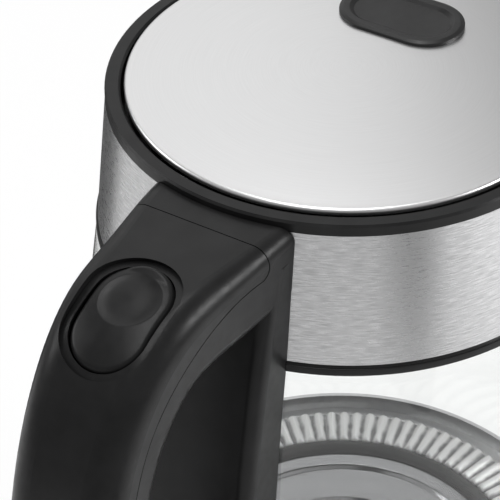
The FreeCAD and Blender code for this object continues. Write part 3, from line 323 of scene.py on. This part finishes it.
plate_low, plate_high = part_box("heating_plate")
PLATE_R = plate_high.x
PLATE_FIELD_Z = plate_low.z + 2.0 * MM
PLATE_FLANGE_Z = plate_low.z + 1.5 * MM
PLATE_EDGE = 0.2 * MM
FLANGE_ROUND = 0.5 * MM
PLATE_STEP_R = 52.4 * MM
BEAD_WIDTH = 5 * MM
INNER_BEAD_R = 33 * MM
BEAD_SOFT = 1.2 * MM
BEAD_SLOPE = 1.3 * MM
plate_corners = [
    (0, plate_low.z, 0),
    (PLATE_R, plate_low.z, PLATE_EDGE),
    (PLATE_R, PLATE_FLANGE_Z, PLATE_EDGE),
    (PLATE_STEP_R + BEAD_SLOPE, PLATE_FLANGE_Z, FLANGE_ROUND),
    (PLATE_STEP_R, plate_high.z, BEAD_SOFT),
    (PLATE_STEP_R - BEAD_WIDTH, plate_high.z, BEAD_SOFT),
    (PLATE_STEP_R - BEAD_WIDTH - BEAD_SLOPE, PLATE_FIELD_Z, BEAD_SOFT / 2),
    (INNER_BEAD_R + BEAD_WIDTH / 2, PLATE_FIELD_Z, BEAD_SOFT / 2),
    (INNER_BEAD_R + BEAD_WIDTH / 4, plate_high.z, BEAD_SOFT / 2),
    (INNER_BEAD_R - BEAD_WIDTH / 4, plate_high.z, BEAD_SOFT / 2),
    (INNER_BEAD_R - BEAD_WIDTH / 2, PLATE_FIELD_Z, BEAD_SOFT / 2),
    (0, PLATE_FIELD_Z, 0),
]
plate_steel = spun("spun_plate_steel", level=(0.17, 0.17, 0.175), roughness=0.16, along=0.5,
                   across=0.5 * MM, contrast=0.1, depth=0.005 * MM)
piece("floor_plate", lathe("floor_plate", rounded(plate_corners), closed=False), plate_steel, "jug",
      "plate_steel", "heating_plate")
cast_metal = metal("cast_element", level=(0.5, 0.5, 0.5), roughness=0.45, grain=0.8 * MM)
coat(cast_metal, "heating_element")

seal_low, seal_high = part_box("plate_seal")
SEAL_WIDTH = 3.6 * MM
SEAL_FOOT_ROUND = 0.3 * MM
SEAL_OUTER_ROUND = 1.5 * MM
SEAL_INNER_ROUND = 1.8 * MM
seal_rubber = moulded("seal_silicone", level=0.012, roughness=0.5, grain=0.3 * MM)
seal_corners = [
    (seal_high.x, seal_low.z, SEAL_FOOT_ROUND),
    (seal_high.x, seal_high.z, SEAL_OUTER_ROUND),
    (seal_high.x - SEAL_WIDTH, seal_high.z, SEAL_INNER_ROUND),
    (seal_high.x - SEAL_WIDTH, seal_low.z, SEAL_FOOT_ROUND),
]
piece("floor_seal", lathe("floor_seal", rounded(seal_corners, closed=True)), seal_rubber, "jug",
      "seal_rubber", "plate_seal")

# Light ring: a clear moulded ring with fine ribs across it, over a board of small lamps.
# It drops in between the seal and the turned-in rim of the glass.

light_low, light_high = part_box("light_ring")
RIB_COUNT = 96
RIB_STEPS = 8
RIB_DEPTH = 1.6 * MM
LIGHT_FIT = 0.2 * MM
LIGHT_INNER_R = seal_high.x + LIGHT_FIT
LIGHT_FOOT_ROUND = 0.2 * MM
LIGHT_OUTER_ROUND = 1.4 * MM
LIGHT_INNER_ROUND = 1.0 * MM
# Painted shade for the troughs between the ribs and a painted highlight for their crests.
RIB_TROUGH_PAINTED_SHADE = (0.22, 0.22, 0.225)
RIB_CREST_PAINTED_HIGHLIGHT = (0.97, 0.97, 0.97)
RIB_PAINTED_LIGHT_SWING = 0.5
RING_CLOUD = 6 * MM
RING_PATCH = 1 * MM
light_corners = [
    (light_high.x, light_low.z, LIGHT_FOOT_ROUND),
    (light_high.x, light_high.z, LIGHT_OUTER_ROUND),
    (LIGHT_INNER_R, light_high.z, LIGHT_INNER_ROUND),
    (LIGHT_INNER_R, light_low.z, LIGHT_FOOT_ROUND),
]


def ribbed(name, profile, low):
    """A turned ring whose upper side falls by a raised cosine, rib by rib: z drops by depth
    times (1 - cos(ribs a)) / 2, in step with the height above the ring's foot."""
    angle = np.arange(RIB_COUNT * RIB_STEPS) * 2 * math.pi / (RIB_COUNT * RIB_STEPS)
    r, z = profile[:, :1], profile[:, 1:]
    rise = (z - low) / (profile[:, 1].max() - low)
    drop = RIB_DEPTH * rise * (1 - np.cos(RIB_COUNT * angle)) / 2
    points = np.stack([r * np.cos(angle), r * np.sin(angle), z - drop], axis=-1)
    return skin(name, points, close_rows=True, close_columns=True)


# The ring's colour is painted light: dark in the troughs between the ribs (painted shade), near white on
# their crests (painted highlight), with random clouds over it.
clear_ring = Finish("clear_ribbed_ring_painted_rib_light", {"Transmission Weight": 0.25, "IOR": 1.5})
ring_turn = radial(clear_ring)[1] * RIB_COUNT
ring_painted_rib_light = ring_turn.math("COSINE", ring_turn) * RIB_PAINTED_LIGHT_SWING + clear_ring.noise(RING_CLOUD)
ring_painted_light_share = clear_ring.between(ring_painted_rib_light, 0, 1, start=0.0, end=0.5)
clear_ring.feed("Base Color", clear_ring.tint(ring_painted_light_share, RIB_TROUGH_PAINTED_SHADE, RIB_CREST_PAINTED_HIGHLIGHT))
clear_ring.feed("Roughness", clear_ring.between(clear_ring.noise(RING_PATCH), low=0.08, high=0.18))
ring_mesh = ribbed("ribbed_ring", rounded(light_corners, closed=True), light_low.z)
piece("ribbed_ring", ring_mesh, clear_ring, "jug", "clear_ring", "light_ring")
white_board = moulded("white_board", level=0.72, roughness=0.4, grain=0.4 * MM)
coat(white_board, "light_board")

# Glass body: a blown borosilicate cone, 3 mm thick, with a straight neck and a turned-in floor rim.
# It stands on the skirt's shelf, and a soft seal centres it in the collar.

glass_low, glass_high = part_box("glass_body")
GLASS_R = 81.2 * MM
GLASS_WALL = 3 * MM
GLASS_CORNER = 8 * MM
GLASS_STRAIGHT = 27 * MM
GLASS_SHOULDER_R = 71.9 * MM
GLASS_NECK_R = 69.4 * MM
GLASS_RIM_R = 70 * MM
GLASS_BULGE = 2.3 * MM
NECK_HEIGHT = 13.6 * MM
FLOOR_RIM = GLASS_WALL * 1.15
GLASS_DEEP = (0.975, 0.985, 0.98)
GLASS_CLEAR = (0.99, 0.995, 0.99)
GLASS_CLOUD = 40 * MM
neck_z = glass_high.z - NECK_HEIGHT


def bowed(start, end, bow, steps=24):
    """Points from start to end, pushed out in radius by a parabola that is bow high in the middle."""
    share = np.linspace(0, 1, steps)[:, None]
    points = np.array(start) * (1 - share) + np.array(end) * share
    points[:, :1] += bow * 4 * share * (1 - share)
    return points


glass_wall = (GLASS_WALL, 0)
outer_belly = bowed((GLASS_SHOULDER_R, neck_z), (GLASS_R, glass_low.z + GLASS_STRAIGHT), GLASS_BULGE)
inner_belly = (outer_belly - glass_wall)[::-1]
outer_foot = rounded([
    (GLASS_R, glass_low.z + GLASS_STRAIGHT, 0),
    (GLASS_R, glass_low.z, GLASS_CORNER),
    (GLASS_RIM_R, glass_low.z, 0),
    (GLASS_RIM_R, glass_low.z + FLOOR_RIM, 0),
    (GLASS_R - GLASS_WALL, glass_low.z + FLOOR_RIM, GLASS_CORNER - GLASS_WALL),
    (GLASS_R - GLASS_WALL, glass_low.z + GLASS_STRAIGHT, 0),
], steps=12)
glass_neck = np.array([
    (GLASS_NECK_R - GLASS_WALL, neck_z + GLASS_WALL),
    (GLASS_NECK_R - GLASS_WALL, glass_high.z),
    (GLASS_NECK_R, glass_high.z),
    (GLASS_NECK_R, neck_z),
])
glass_profile = np.concatenate([outer_belly, outer_foot[1:-1], inner_belly, glass_neck])
clear_glass = Finish("clear_glass", {"Transmission Weight": 1.0, "IOR": 1.45, "Roughness": 0.0})
glass_clouds = clear_glass.between(clear_glass.noise(GLASS_CLOUD), 0, 1)
clear_glass.feed("Base Color", clear_glass.tint(glass_clouds, GLASS_DEEP, GLASS_CLEAR))
piece("glass_jug", lathe("glass_jug", glass_profile), clear_glass, "jug", "clear_glass", "glass_body")
coat(soft_rubber, "glass_top_seal")

# Collar: a rolled cone of brushed stainless sheet round the neck, closed below by a thin black ring.
# The beak is pressed from the same sheet and welded over the pouring window.

collar_low, collar_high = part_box("steel_collar")
COLLAR_FOOT_R = collar_high.x
RIM_R = 67.4 * MM
SHEET = 0.6 * MM
WINDOW_HALF = 12.5 * MM
WINDOW_LOW = 213.5 * MM
WINDOW_HIGH = 231 * MM


def joined(name, meshes):
    """Several meshes as one; the single ones are dropped."""
    work = bmesh.new()
    for mesh in meshes:
        work.from_mesh(mesh)
        bpy.data.meshes.remove(mesh)
    mesh = bpy.data.meshes.new(name)
    work.to_mesh(mesh)
    work.free()
    return mesh


def collar_mesh(name, turns=256, rises=48, gap_turns=12):
    """A cone of sheet on a grid of turn and height, with the window's quads left out: its radius falls
    evenly from the foot to the rim, and the inner face lies a sheet's thickness further in."""
    side = WINDOW_HALF / ((COLLAR_FOOT_R + RIM_R) / 2)
    angle = np.linspace(math.pi + side, 3 * math.pi - side, turns)
    gap = np.linspace(math.pi - side, math.pi + side, gap_turns)
    height = np.union1d(np.linspace(collar_low.z, collar_high.z, rises), [WINDOW_LOW, WINDOW_HIGH])
    below = height[height <= WINDOW_LOW + SAME_POINT]
    above = height[height >= WINDOW_HIGH - SAME_POINT]
    parts = []
    for span, rows in ((angle, height), (gap, below), (gap, above)):
        share = (rows - collar_low.z)[:, None] / (collar_high.z - collar_low.z)
        loops = []
        for inset in (0, SHEET):
            r = COLLAR_FOOT_R + (RIM_R - COLLAR_FOOT_R) * share - inset
            loops.append(np.stack([r * np.cos(span), r * np.sin(span), rows[:, None] + 0 * span], axis=-1))
        closed = np.concatenate([loops[0], loops[1][::-1]])
        parts.append(skin(name, closed, close_rows=True))
    return joined(name, parts)


brushed_steel = spun("brushed_collar_steel", level=(0.5, 0.5, 0.505), roughness=0.3, along=0.06,
                     across=0.35 * MM, contrast=0.16, depth=0.015 * MM)
piece("collar_band", collar_mesh("collar_band"), brushed_steel, "jug", "brushed_steel", "steel_collar")
coat(brushed_steel, "spout_beak")

ring_low, ring_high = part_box("lower_ring")
RING_FIT = 0.2 * MM
RING_INNER_R = GLASS_NECK_R + RING_FIT
RING_FOOT_ROUND = 0.4 * MM
RING_SHOULDER = 1.1 * MM
RING_SHOULDER_ROUND = 0.2 * MM
GROOVE_IN = 0.45 * MM
GROOVE_DOWN = 0.9 * MM
GROOVE_ROUND = 0.1 * MM
RING_LIP_IN = 0.1 * MM
RING_LIP_DOWN = 0.55 * MM
RING_LIP_ROUND = 0.15 * MM
ring_corners = [
    (RING_INNER_R, ring_low.z, 0),
    (ring_high.x, ring_low.z, RING_FOOT_ROUND),
    (ring_high.x, ring_high.z - RING_SHOULDER, RING_SHOULDER_ROUND),
    (ring_high.x - GROOVE_IN, ring_high.z - GROOVE_DOWN, GROOVE_ROUND),
    (ring_high.x - RING_LIP_IN, ring_high.z - RING_LIP_DOWN, RING_LIP_ROUND),
    (COLLAR_FOOT_R, ring_high.z, 0),
    (RING_INNER_R, ring_high.z, 0),
]
piece("collar_ring", lathe("collar_ring", rounded(ring_corners, steps=5)), satin_black, "jug",
      "black_plastic", "lower_ring")

# Rim: the black trim ring round the lid, moulded with its sleeve, hinge posts and filter guides.
# A lip before the hinge turns steam away, and a thin seat runs round under the lid from one side of
# the hinge to the other. The framed mesh filter slides between the guides.

coat(satin_black, "rim_ring", "filter_frame")
coat(plated_steel, "filter_mesh", "hinge_pin", "lid_spring")

pin_low, pin_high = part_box("hinge_pin")
LIP_HALF_WIDTH = pin_high.y
LIP_FRONT_X = pin_low.x - 20 * MM
LIP_BACK_X = pin_low.x - 8 * MM
LIP_TOP_Z = pin_low.z - 17 * MM
LIP_HEIGHT = 4 * MM
LIP_ROUND = 1 * MM


def bar(name, profile, half_width):
    """A profile (x, z) drawn along Y from side to side, each end closed to the profile's middle."""
    side = np.stack([profile[:, 0], 0 * profile[:, 0], profile[:, 1]], axis=-1)
    middle = side.mean(axis=0) + 0 * side
    end = np.array([0, half_width, 0])
    points = np.stack([middle - end, side - end, side + end, middle + end])
    return skin(name, points, close_columns=True)


lip_profile = rounded([
    (LIP_BACK_X, LIP_TOP_Z, LIP_ROUND),
    (LIP_FRONT_X, LIP_TOP_Z, LIP_ROUND),
    (LIP_FRONT_X, LIP_TOP_Z - LIP_HEIGHT, LIP_ROUND),
    (LIP_BACK_X, LIP_TOP_Z - LIP_HEIGHT, LIP_ROUND),
], closed=True)
piece("hinge_lip", bar("hinge_lip", lip_profile, LIP_HALF_WIDTH), satin_black, "jug", "black_plastic")

SLEEVE_R = 63 * MM
SEAT_BITE = 0.1 * MM
SEAT_WIDTH = 4.5 * MM
SEAT_HEIGHT = 1.0 * MM
SEAT_CLEAR = 0.4 * MM
SEAT_START = math.radians(45)
seat_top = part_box("lid_body")[0].z - SEAT_CLEAR


def part_turned(name, profile, start, end, count=160):
    """The profile (radius, height) turned about Z from start to end, each end closed to its middle."""
    angle = np.linspace(start, end, count)
    angle = np.concatenate([angle[:1], angle, angle[-1:]])
    swell = np.ones(count + 2)
    swell[[0, -1]] = 0
    spot = profile.mean(axis=0) + (profile - profile.mean(axis=0))[:, None, :] * swell[:, None]
    r, z = spot[..., 0], spot[..., 1]
    points = np.stack([r * np.cos(angle), r * np.sin(angle), z], axis=-1)
    return skin(name, points, close_rows=True)


seat_profile = np.array([
    (SLEEVE_R + SEAT_BITE, seat_top),
    (SLEEVE_R - SEAT_WIDTH, seat_top),
    (SLEEVE_R - SEAT_WIDTH, seat_top - SEAT_HEIGHT),
    (SLEEVE_R + SEAT_BITE, seat_top - SEAT_HEIGHT),
])
seat_mesh = part_turned("lid_seat", seat_profile, SEAT_START, 2 * math.pi - SEAT_START)
piece("lid_seat", seat_mesh, satin_black, "jug", "black_plastic")

# Lid: a domed satin steel disc with a rolled edge, clipped over a black body with a liner and gasket.
# A slot-shaped black insert with a raised rim sits on its spout side.

disc_low, disc_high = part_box("lid_disc")
LID_R = disc_high.x
LID_ROLL = 1.0 * MM
LID_EDGE_Z = disc_high.z - 2.4 * MM
DOME_R = LID_R - LID_ROLL
ROLL_ROUND = LID_ROLL * 0.98


def domed_disc(name, steps=40):
    """A shallow dome, crown less (r over dome radius) squared times its rise, with a rolled edge."""
    r = np.linspace(0, DOME_R, steps)
    top = np.stack([r, disc_high.z - (disc_high.z - LID_EDGE_Z) * (r / DOME_R) ** 2], axis=-1)
    edge = rounded([
        (DOME_R, LID_EDGE_Z, 0),
        (LID_R, LID_EDGE_Z, ROLL_ROUND),
        (LID_R, disc_low.z, 0),
        (LID_R - SHEET, disc_low.z, 0),
        (LID_R - SHEET, LID_EDGE_Z - SHEET, 0),
    ], steps=8)
    under = (top - (0, SHEET))[::-1]
    return lathe(name, np.concatenate([top, edge[1:], under]), count=256, closed=False)


satin_steel = spun("satin_lid_steel", level=(0.72, 0.72, 0.722), roughness=0.34, along=0.5,
                   across=0.3 * MM, contrast=0.02, depth=0.004 * MM)
piece("lid_cap", domed_disc("lid_cap"), satin_steel, "lid", "lid_steel", "lid_disc")

knob_low, knob_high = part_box("lid_knob")
KNOB_RIM = 4.2 * MM
KNOB_RECESS = 0.8 * MM
KNOB_BEVEL = 1.2 * MM
KNOB_DROP = KNOB_BEVEL * 0.4
KNOB_SMALL_ROUND = KNOB_BEVEL * 0.3
KNOB_LARGE_ROUND = KNOB_BEVEL * 0.6
KNOB_SUNK = 1.0 * MM


def slot_path(half_span, around):
    """Round a straight spine: for each step, how far along the spine it belongs and which way it leans,
    a half circle about either end joined by straight sides."""
    turn = np.linspace(-math.pi / 2, math.pi / 2, around)
    side = np.linspace(half_span, -half_span, around)[1:-1]
    spine = np.concatenate([0 * turn + half_span, side, 0 * turn - half_span, -side])
    lean = np.concatenate([turn, 0 * side + math.pi / 2, turn + math.pi, 0 * side - math.pi / 2])
    return spine, lean


def slot_turned(name, low, high, profile, around=48):
    """A profile (inset, height) carried round a slot shape that lies along Y between two corners: each
    point stands the half width less its inset away from the spine."""
    half_width = (high.x - low.x) / 2
    spine, lean = slot_path((high.y - low.y) / 2 - half_width, around)
    reach, z = half_width - profile[:, :1], profile[:, 1:]
    x = (low.x + high.x) / 2 + reach * np.sin(lean)
    y = (low.y + high.y) / 2 + spine + reach * np.cos(lean)
    return skin(name, np.stack([x, y, z + 0 * spine], axis=-1), close_columns=True)


knob_middle = (knob_high.x - knob_low.x) / 2
knob_top = knob_high.z - KNOB_SUNK
knob_profile = rounded([
    (knob_middle, knob_low.z, 0),
    (0, knob_low.z, 0),
    (0, knob_top - KNOB_DROP, KNOB_SMALL_ROUND),
    (KNOB_BEVEL, knob_top, KNOB_LARGE_ROUND),
    (KNOB_RIM - KNOB_BEVEL, knob_top, KNOB_SMALL_ROUND),
    (KNOB_RIM, knob_top - KNOB_RECESS, KNOB_SMALL_ROUND),
    (knob_middle, knob_top - KNOB_RECESS, 0),
], steps=8)
insert_black = moulded("insert_black_plastic", level=0.012, roughness=0.38, grain=0.3 * MM, sheen=0.35)
piece("knob_insert", slot_turned("knob_insert", knob_low, knob_high, knob_profile), insert_black, "lid",
      "black_plastic", "lid_knob")
coat(satin_black, "lid_body")
coat(inner_black, "lid_liner")
coat(soft_rubber, "lid_gasket")

# Handle: a black D loop in two mouldings, a frame with a strip along the body and an outer cover.
# Screws through the skirt hold its foot; the thumb button, its latch and the switch lever ride in it.

coat(satin_black, "handle_frame", "handle_cover", "switch_lever")
coat(inner_black, "lid_latch")
coat(plated_steel, "handle_screws")

# Thumb button: a slot-shaped black cap that follows the handle's curve, dished for the thumb.
# Its stem reaches down to the latch, and it drops into a flanged opening in the cover.

BUTTON_AT = np.array([110.8, 0, 237.3]) * MM
BUTTON_TILT = math.radians(24)
BUTTON_R = 10.6 * MM
BUTTON_HALF_SPAN = 5.2 * MM
BUTTON_SINK = 0.4 * MM
BUTTON_DEPTH = 5.5 * MM
BUTTON_EDGE = 1.3 * MM
DIMPLE_R = 8.2 * MM
DIMPLE_SHIFT = 4.6 * MM
DIMPLE_DEPTH = 1.1 * MM
DIMPLE_SOFT = 0.06
BUTTON_CROWN = 1.4 * MM
STEM_R = 2.0 * MM
STEM_START = BUTTON_DEPTH * 0.9
STEM_LENGTH = 5.5 * MM
HANDLE_CENTRE = np.array([96, 141]) * MM
HANDLE_FAR = np.array([151, 242]) * MM
HANDLE_POWER = 2.3
button_along = np.array([math.cos(BUTTON_TILT), 0, -math.sin(BUTTON_TILT)])
button_across = np.array([0, 1, 0])
button_out = np.array([math.sin(BUTTON_TILT), 0, math.cos(BUTTON_TILT)])


def handle_height(along, first=2, last=88, steps=400):
    """How far the handle's back stands out from the button's plane: the superellipse quarter
    x = centre + spread sin(a) ^ (2 / power), z alike with cos, read off along the button."""
    turn = np.radians(np.linspace(first, last, steps))
    spread = HANDLE_FAR - HANDLE_CENTRE
    x = HANDLE_CENTRE[0] + spread[0] * np.sin(turn) ** (2 / HANDLE_POWER)
    z = HANDLE_CENTRE[1] + spread[1] * np.cos(turn) ** (2 / HANDLE_POWER)
    back = np.stack([x, 0 * x, z], axis=-1) - BUTTON_AT
    return np.interp(along, back @ button_along, back @ button_out)


def button_mesh(name, around=48, rings=40):
    """Rings round a straight spine: each ring is a half circle about either end of the spine, joined by
    straight sides. Its height follows the handle, crowned across by a parabola, with an edge that turns
    down as a quarter circle and a dimple of depth times the soft positive part of
    1 - (distance / radius) to the fourth."""
    spine, lean = slot_path(BUTTON_HALF_SPAN, around)
    reach = BUTTON_R * np.sin(np.linspace(0, math.pi / 2, rings))[:, None]
    along = spine + reach * np.cos(lean)
    across = reach * np.sin(lean)
    from_edge = np.clip(BUTTON_R - reach, 0, BUTTON_EDGE)
    fall = BUTTON_EDGE - np.sqrt(BUTTON_EDGE ** 2 - (BUTTON_EDGE - from_edge) ** 2)
    bowl = 1 - (((along + DIMPLE_SHIFT) ** 2 + across ** 2) / DIMPLE_R ** 2) ** 2
    dimple = DIMPLE_DEPTH * (bowl + np.sqrt(bowl ** 2 + DIMPLE_SOFT ** 2)) / 2
    crown = BUTTON_CROWN * (across / BUTTON_R) ** 2
    out = handle_height(along) - BUTTON_SINK - crown - fall - dimple
    top = along[..., None] * button_along + across[..., None] * button_across + out[..., None] * button_out
    foot = top[-1:] - (out[-1:, :, None] + BUTTON_DEPTH) * button_out
    under = foot * 0 + spine[None, :, None] * button_along - BUTTON_DEPTH * button_out
    return skin(name, np.concatenate([top, foot, under]) + BUTTON_AT, close_columns=True)


def stem_mesh(name, count=48):
    """A round post along the button's axis, from inside the cap to the latch: a circle at either end,
    each closed to its middle."""
    angle = np.arange(count) * 2 * math.pi / count
    radius = STEM_R * np.array([0, 1, 1, 0])[:, None]
    foot = BUTTON_DEPTH + STEM_LENGTH
    depth = np.array([STEM_START, STEM_START, foot, foot])[:, None] + 0 * angle
    along = (radius * np.cos(angle))[..., None] * button_along
    across = (radius * np.sin(angle))[..., None] * button_across
    points = along + across - depth[..., None] * button_out + BUTTON_AT
    return skin(name, points, close_columns=True)


button_parts = [button_mesh("cap"), stem_mesh("stem")]
piece("thumb_button", joined("thumb_button", button_parts), satin_black, "lid_button", "black_plastic",
      "release_button")

# Studio: a pale floor that keeps a soft shadow, and surroundings that the camera sees as white.
# Soft boxes stand at both sides, above and behind, and two dark cards give the steel its shading.

FLOOR_HALF = 4.0
FLOOR_DARK = (0.88, 0.88, 0.88)
FLOOR_LIGHT = (0.9, 0.9, 0.9)
FLOOR_CLOUD = 0.4
WHITE = (1, 1, 1, 1)
WHITE_SHARE = 0.9
WHITE_LEVEL = 1.0
SURROUND_LEVEL = 0.35


def seen(nodes):
    """1 for what the camera sees directly or through glass, and 0 for light that falls."""
    path = nodes.add("ShaderNodeLightPath").socket.node
    straight = Wire(nodes, path.outputs["Is Camera Ray"])
    through = Wire(nodes, path.outputs["Is Transmission Ray"])
    return straight.math("MAXIMUM", straight, through)


def flat_sheet(name, low, high, z):
    """One level quad between two corners, at height z."""
    corners = [(low[0], low[1], z), (high[0], low[1], z), (high[0], high[1], z), (low[0], high[1], z)]
    mesh = bpy.data.meshes.new(name)
    mesh.from_pydata(corners, [], [(0, 1, 2, 3)])
    return mesh


floor_mesh = flat_sheet("floor", (-FLOOR_HALF, -FLOOR_HALF), (FLOOR_HALF, FLOOR_HALF), 0)
floor_paint = Finish("pale_floor", {"Roughness": 0.9, "Specular IOR Level": 0.0})
floor_clouds = floor_paint.between(floor_paint.noise(FLOOR_CLOUD), 0, 1)
floor_paint.feed("Base Color", floor_paint.tint(floor_clouds, FLOOR_DARK, FLOOR_LIGHT))
glow = floor_paint.add("ShaderNodeEmission", None, {"Color": WHITE, "Strength": WHITE_LEVEL})
shade = Wire(floor_paint, floor_paint.shader.outputs[0])
mixed = floor_paint.add("ShaderNodeMixShader", None, [seen(floor_paint) * WHITE_SHARE, shade, glow])
floor_output = floor_paint.tree.nodes["Material Output"]
floor_paint.tree.links.new(mixed.socket, floor_output.inputs["Surface"])
floor_mesh.materials.append(floor_paint.material)
floor = bpy.data.objects.new("floor", floor_mesh)
bpy.context.scene.collection.objects.link(floor)

world = bpy.data.worlds.new("studio")
bpy.context.scene.world = world
world.use_nodes = True
surround = Nodes(world.node_tree)
backdrop = surround.tree.nodes["Background"]
backdrop.inputs["Color"].default_value = WHITE
surround_strength = surround.between(seen(surround), SURROUND_LEVEL, WHITE_LEVEL, start=0, end=1)
surround.tree.links.new(surround_strength.socket, backdrop.inputs["Strength"])

CENTRE = Vector((0, 0, 0.18))


def soft_box(name, spot, size, power, target=CENTRE):
    """A rectangular soft box that faces the kettle, or another target."""
    data = bpy.data.lights.new(name, "AREA")
    data.shape = "RECTANGLE"
    data.size, data.size_y = size
    data.energy = power
    lamp = bpy.data.objects.new(name, data)
    lamp.location = spot
    lamp.rotation_euler = (target - Vector(spot)).to_track_quat("-Z", "Y").to_euler()
    bpy.context.scene.collection.objects.link(lamp)


SMALL_BOX = (0.4, 0.4)
RIGHT_FLOOR = Vector((-0.25, 0.5, 0))
LEFT_FLOOR = Vector((0.25, -0.5, 0))
soft_box("side_box", spot=(-0.3, 0.75, 0.55), size=SMALL_BOX, power=6, target=RIGHT_FLOOR)
soft_box("left_box", spot=(0.3, -0.75, 0.55), size=SMALL_BOX, power=2, target=LEFT_FLOOR)
soft_box("top_box", spot=(0.05, -0.12, 1.6), size=(1.6, 0.45), power=11)
soft_box("back_box", spot=(-0.85, -1.15, 1.05), size=(1.5, 1.1), power=3.6)

CARD_Z = 1 * MM


def dark_card(name, low, high):
    """A dark card on the floor that only the gloss of the steel and the plastic picks up."""
    mesh = flat_sheet(name, low, high, CARD_Z)
    mesh.materials.append(inner_black.material)
    card = bpy.data.objects.new(name, mesh)
    card.visible_camera = card.visible_transmission = False
    card.visible_diffuse = card.visible_shadow = False
    bpy.context.scene.collection.objects.link(card)


dark_card("left_card", low=(-0.7, -0.9), high=(0.0, -0.12))
dark_card("right_card", low=(0.2, 0.36), high=(0.4, 0.62))

# Camera: stands above the handle's right side, as in the photograph, with a long lens.
# Its place and turn were fitted to the outlines that the photograph shows.

CAMERA_AT = Vector((475.3, 274.6, 617.4)) * MM
CAMERA_LOOK = Vector((-0.6581, -0.4266, -0.6204))
CAMERA_ROLL = math.radians(-1.07)
LENS = 172.8
SENSOR = 36.0
VIEW_END = 100
eye = bpy.data.cameras.new("camera")
eye.lens = LENS
eye.sensor_width = SENSOR
eye.clip_end = VIEW_END
camera = bpy.data.objects.new("camera", eye)
look = CAMERA_LOOK.normalized()
right = look.cross(Vector((0, 0, 1))).normalized()
up = right.cross(look)
right_rolled = right * math.cos(CAMERA_ROLL) + up * math.sin(CAMERA_ROLL)
up_rolled = up * math.cos(CAMERA_ROLL) - right * math.sin(CAMERA_ROLL)
camera.matrix_world = Matrix((
    (right_rolled.x, up_rolled.x, -look.x, CAMERA_AT.x),
    (right_rolled.y, up_rolled.y, -look.y, CAMERA_AT.y),
    (right_rolled.z, up_rolled.z, -look.z, CAMERA_AT.z),
    (0, 0, 0, 1),
))
bpy.context.scene.collection.objects.link(camera)
bpy.context.scene.camera = camera
bpy.context.scene.view_settings.view_transform = "Standard"
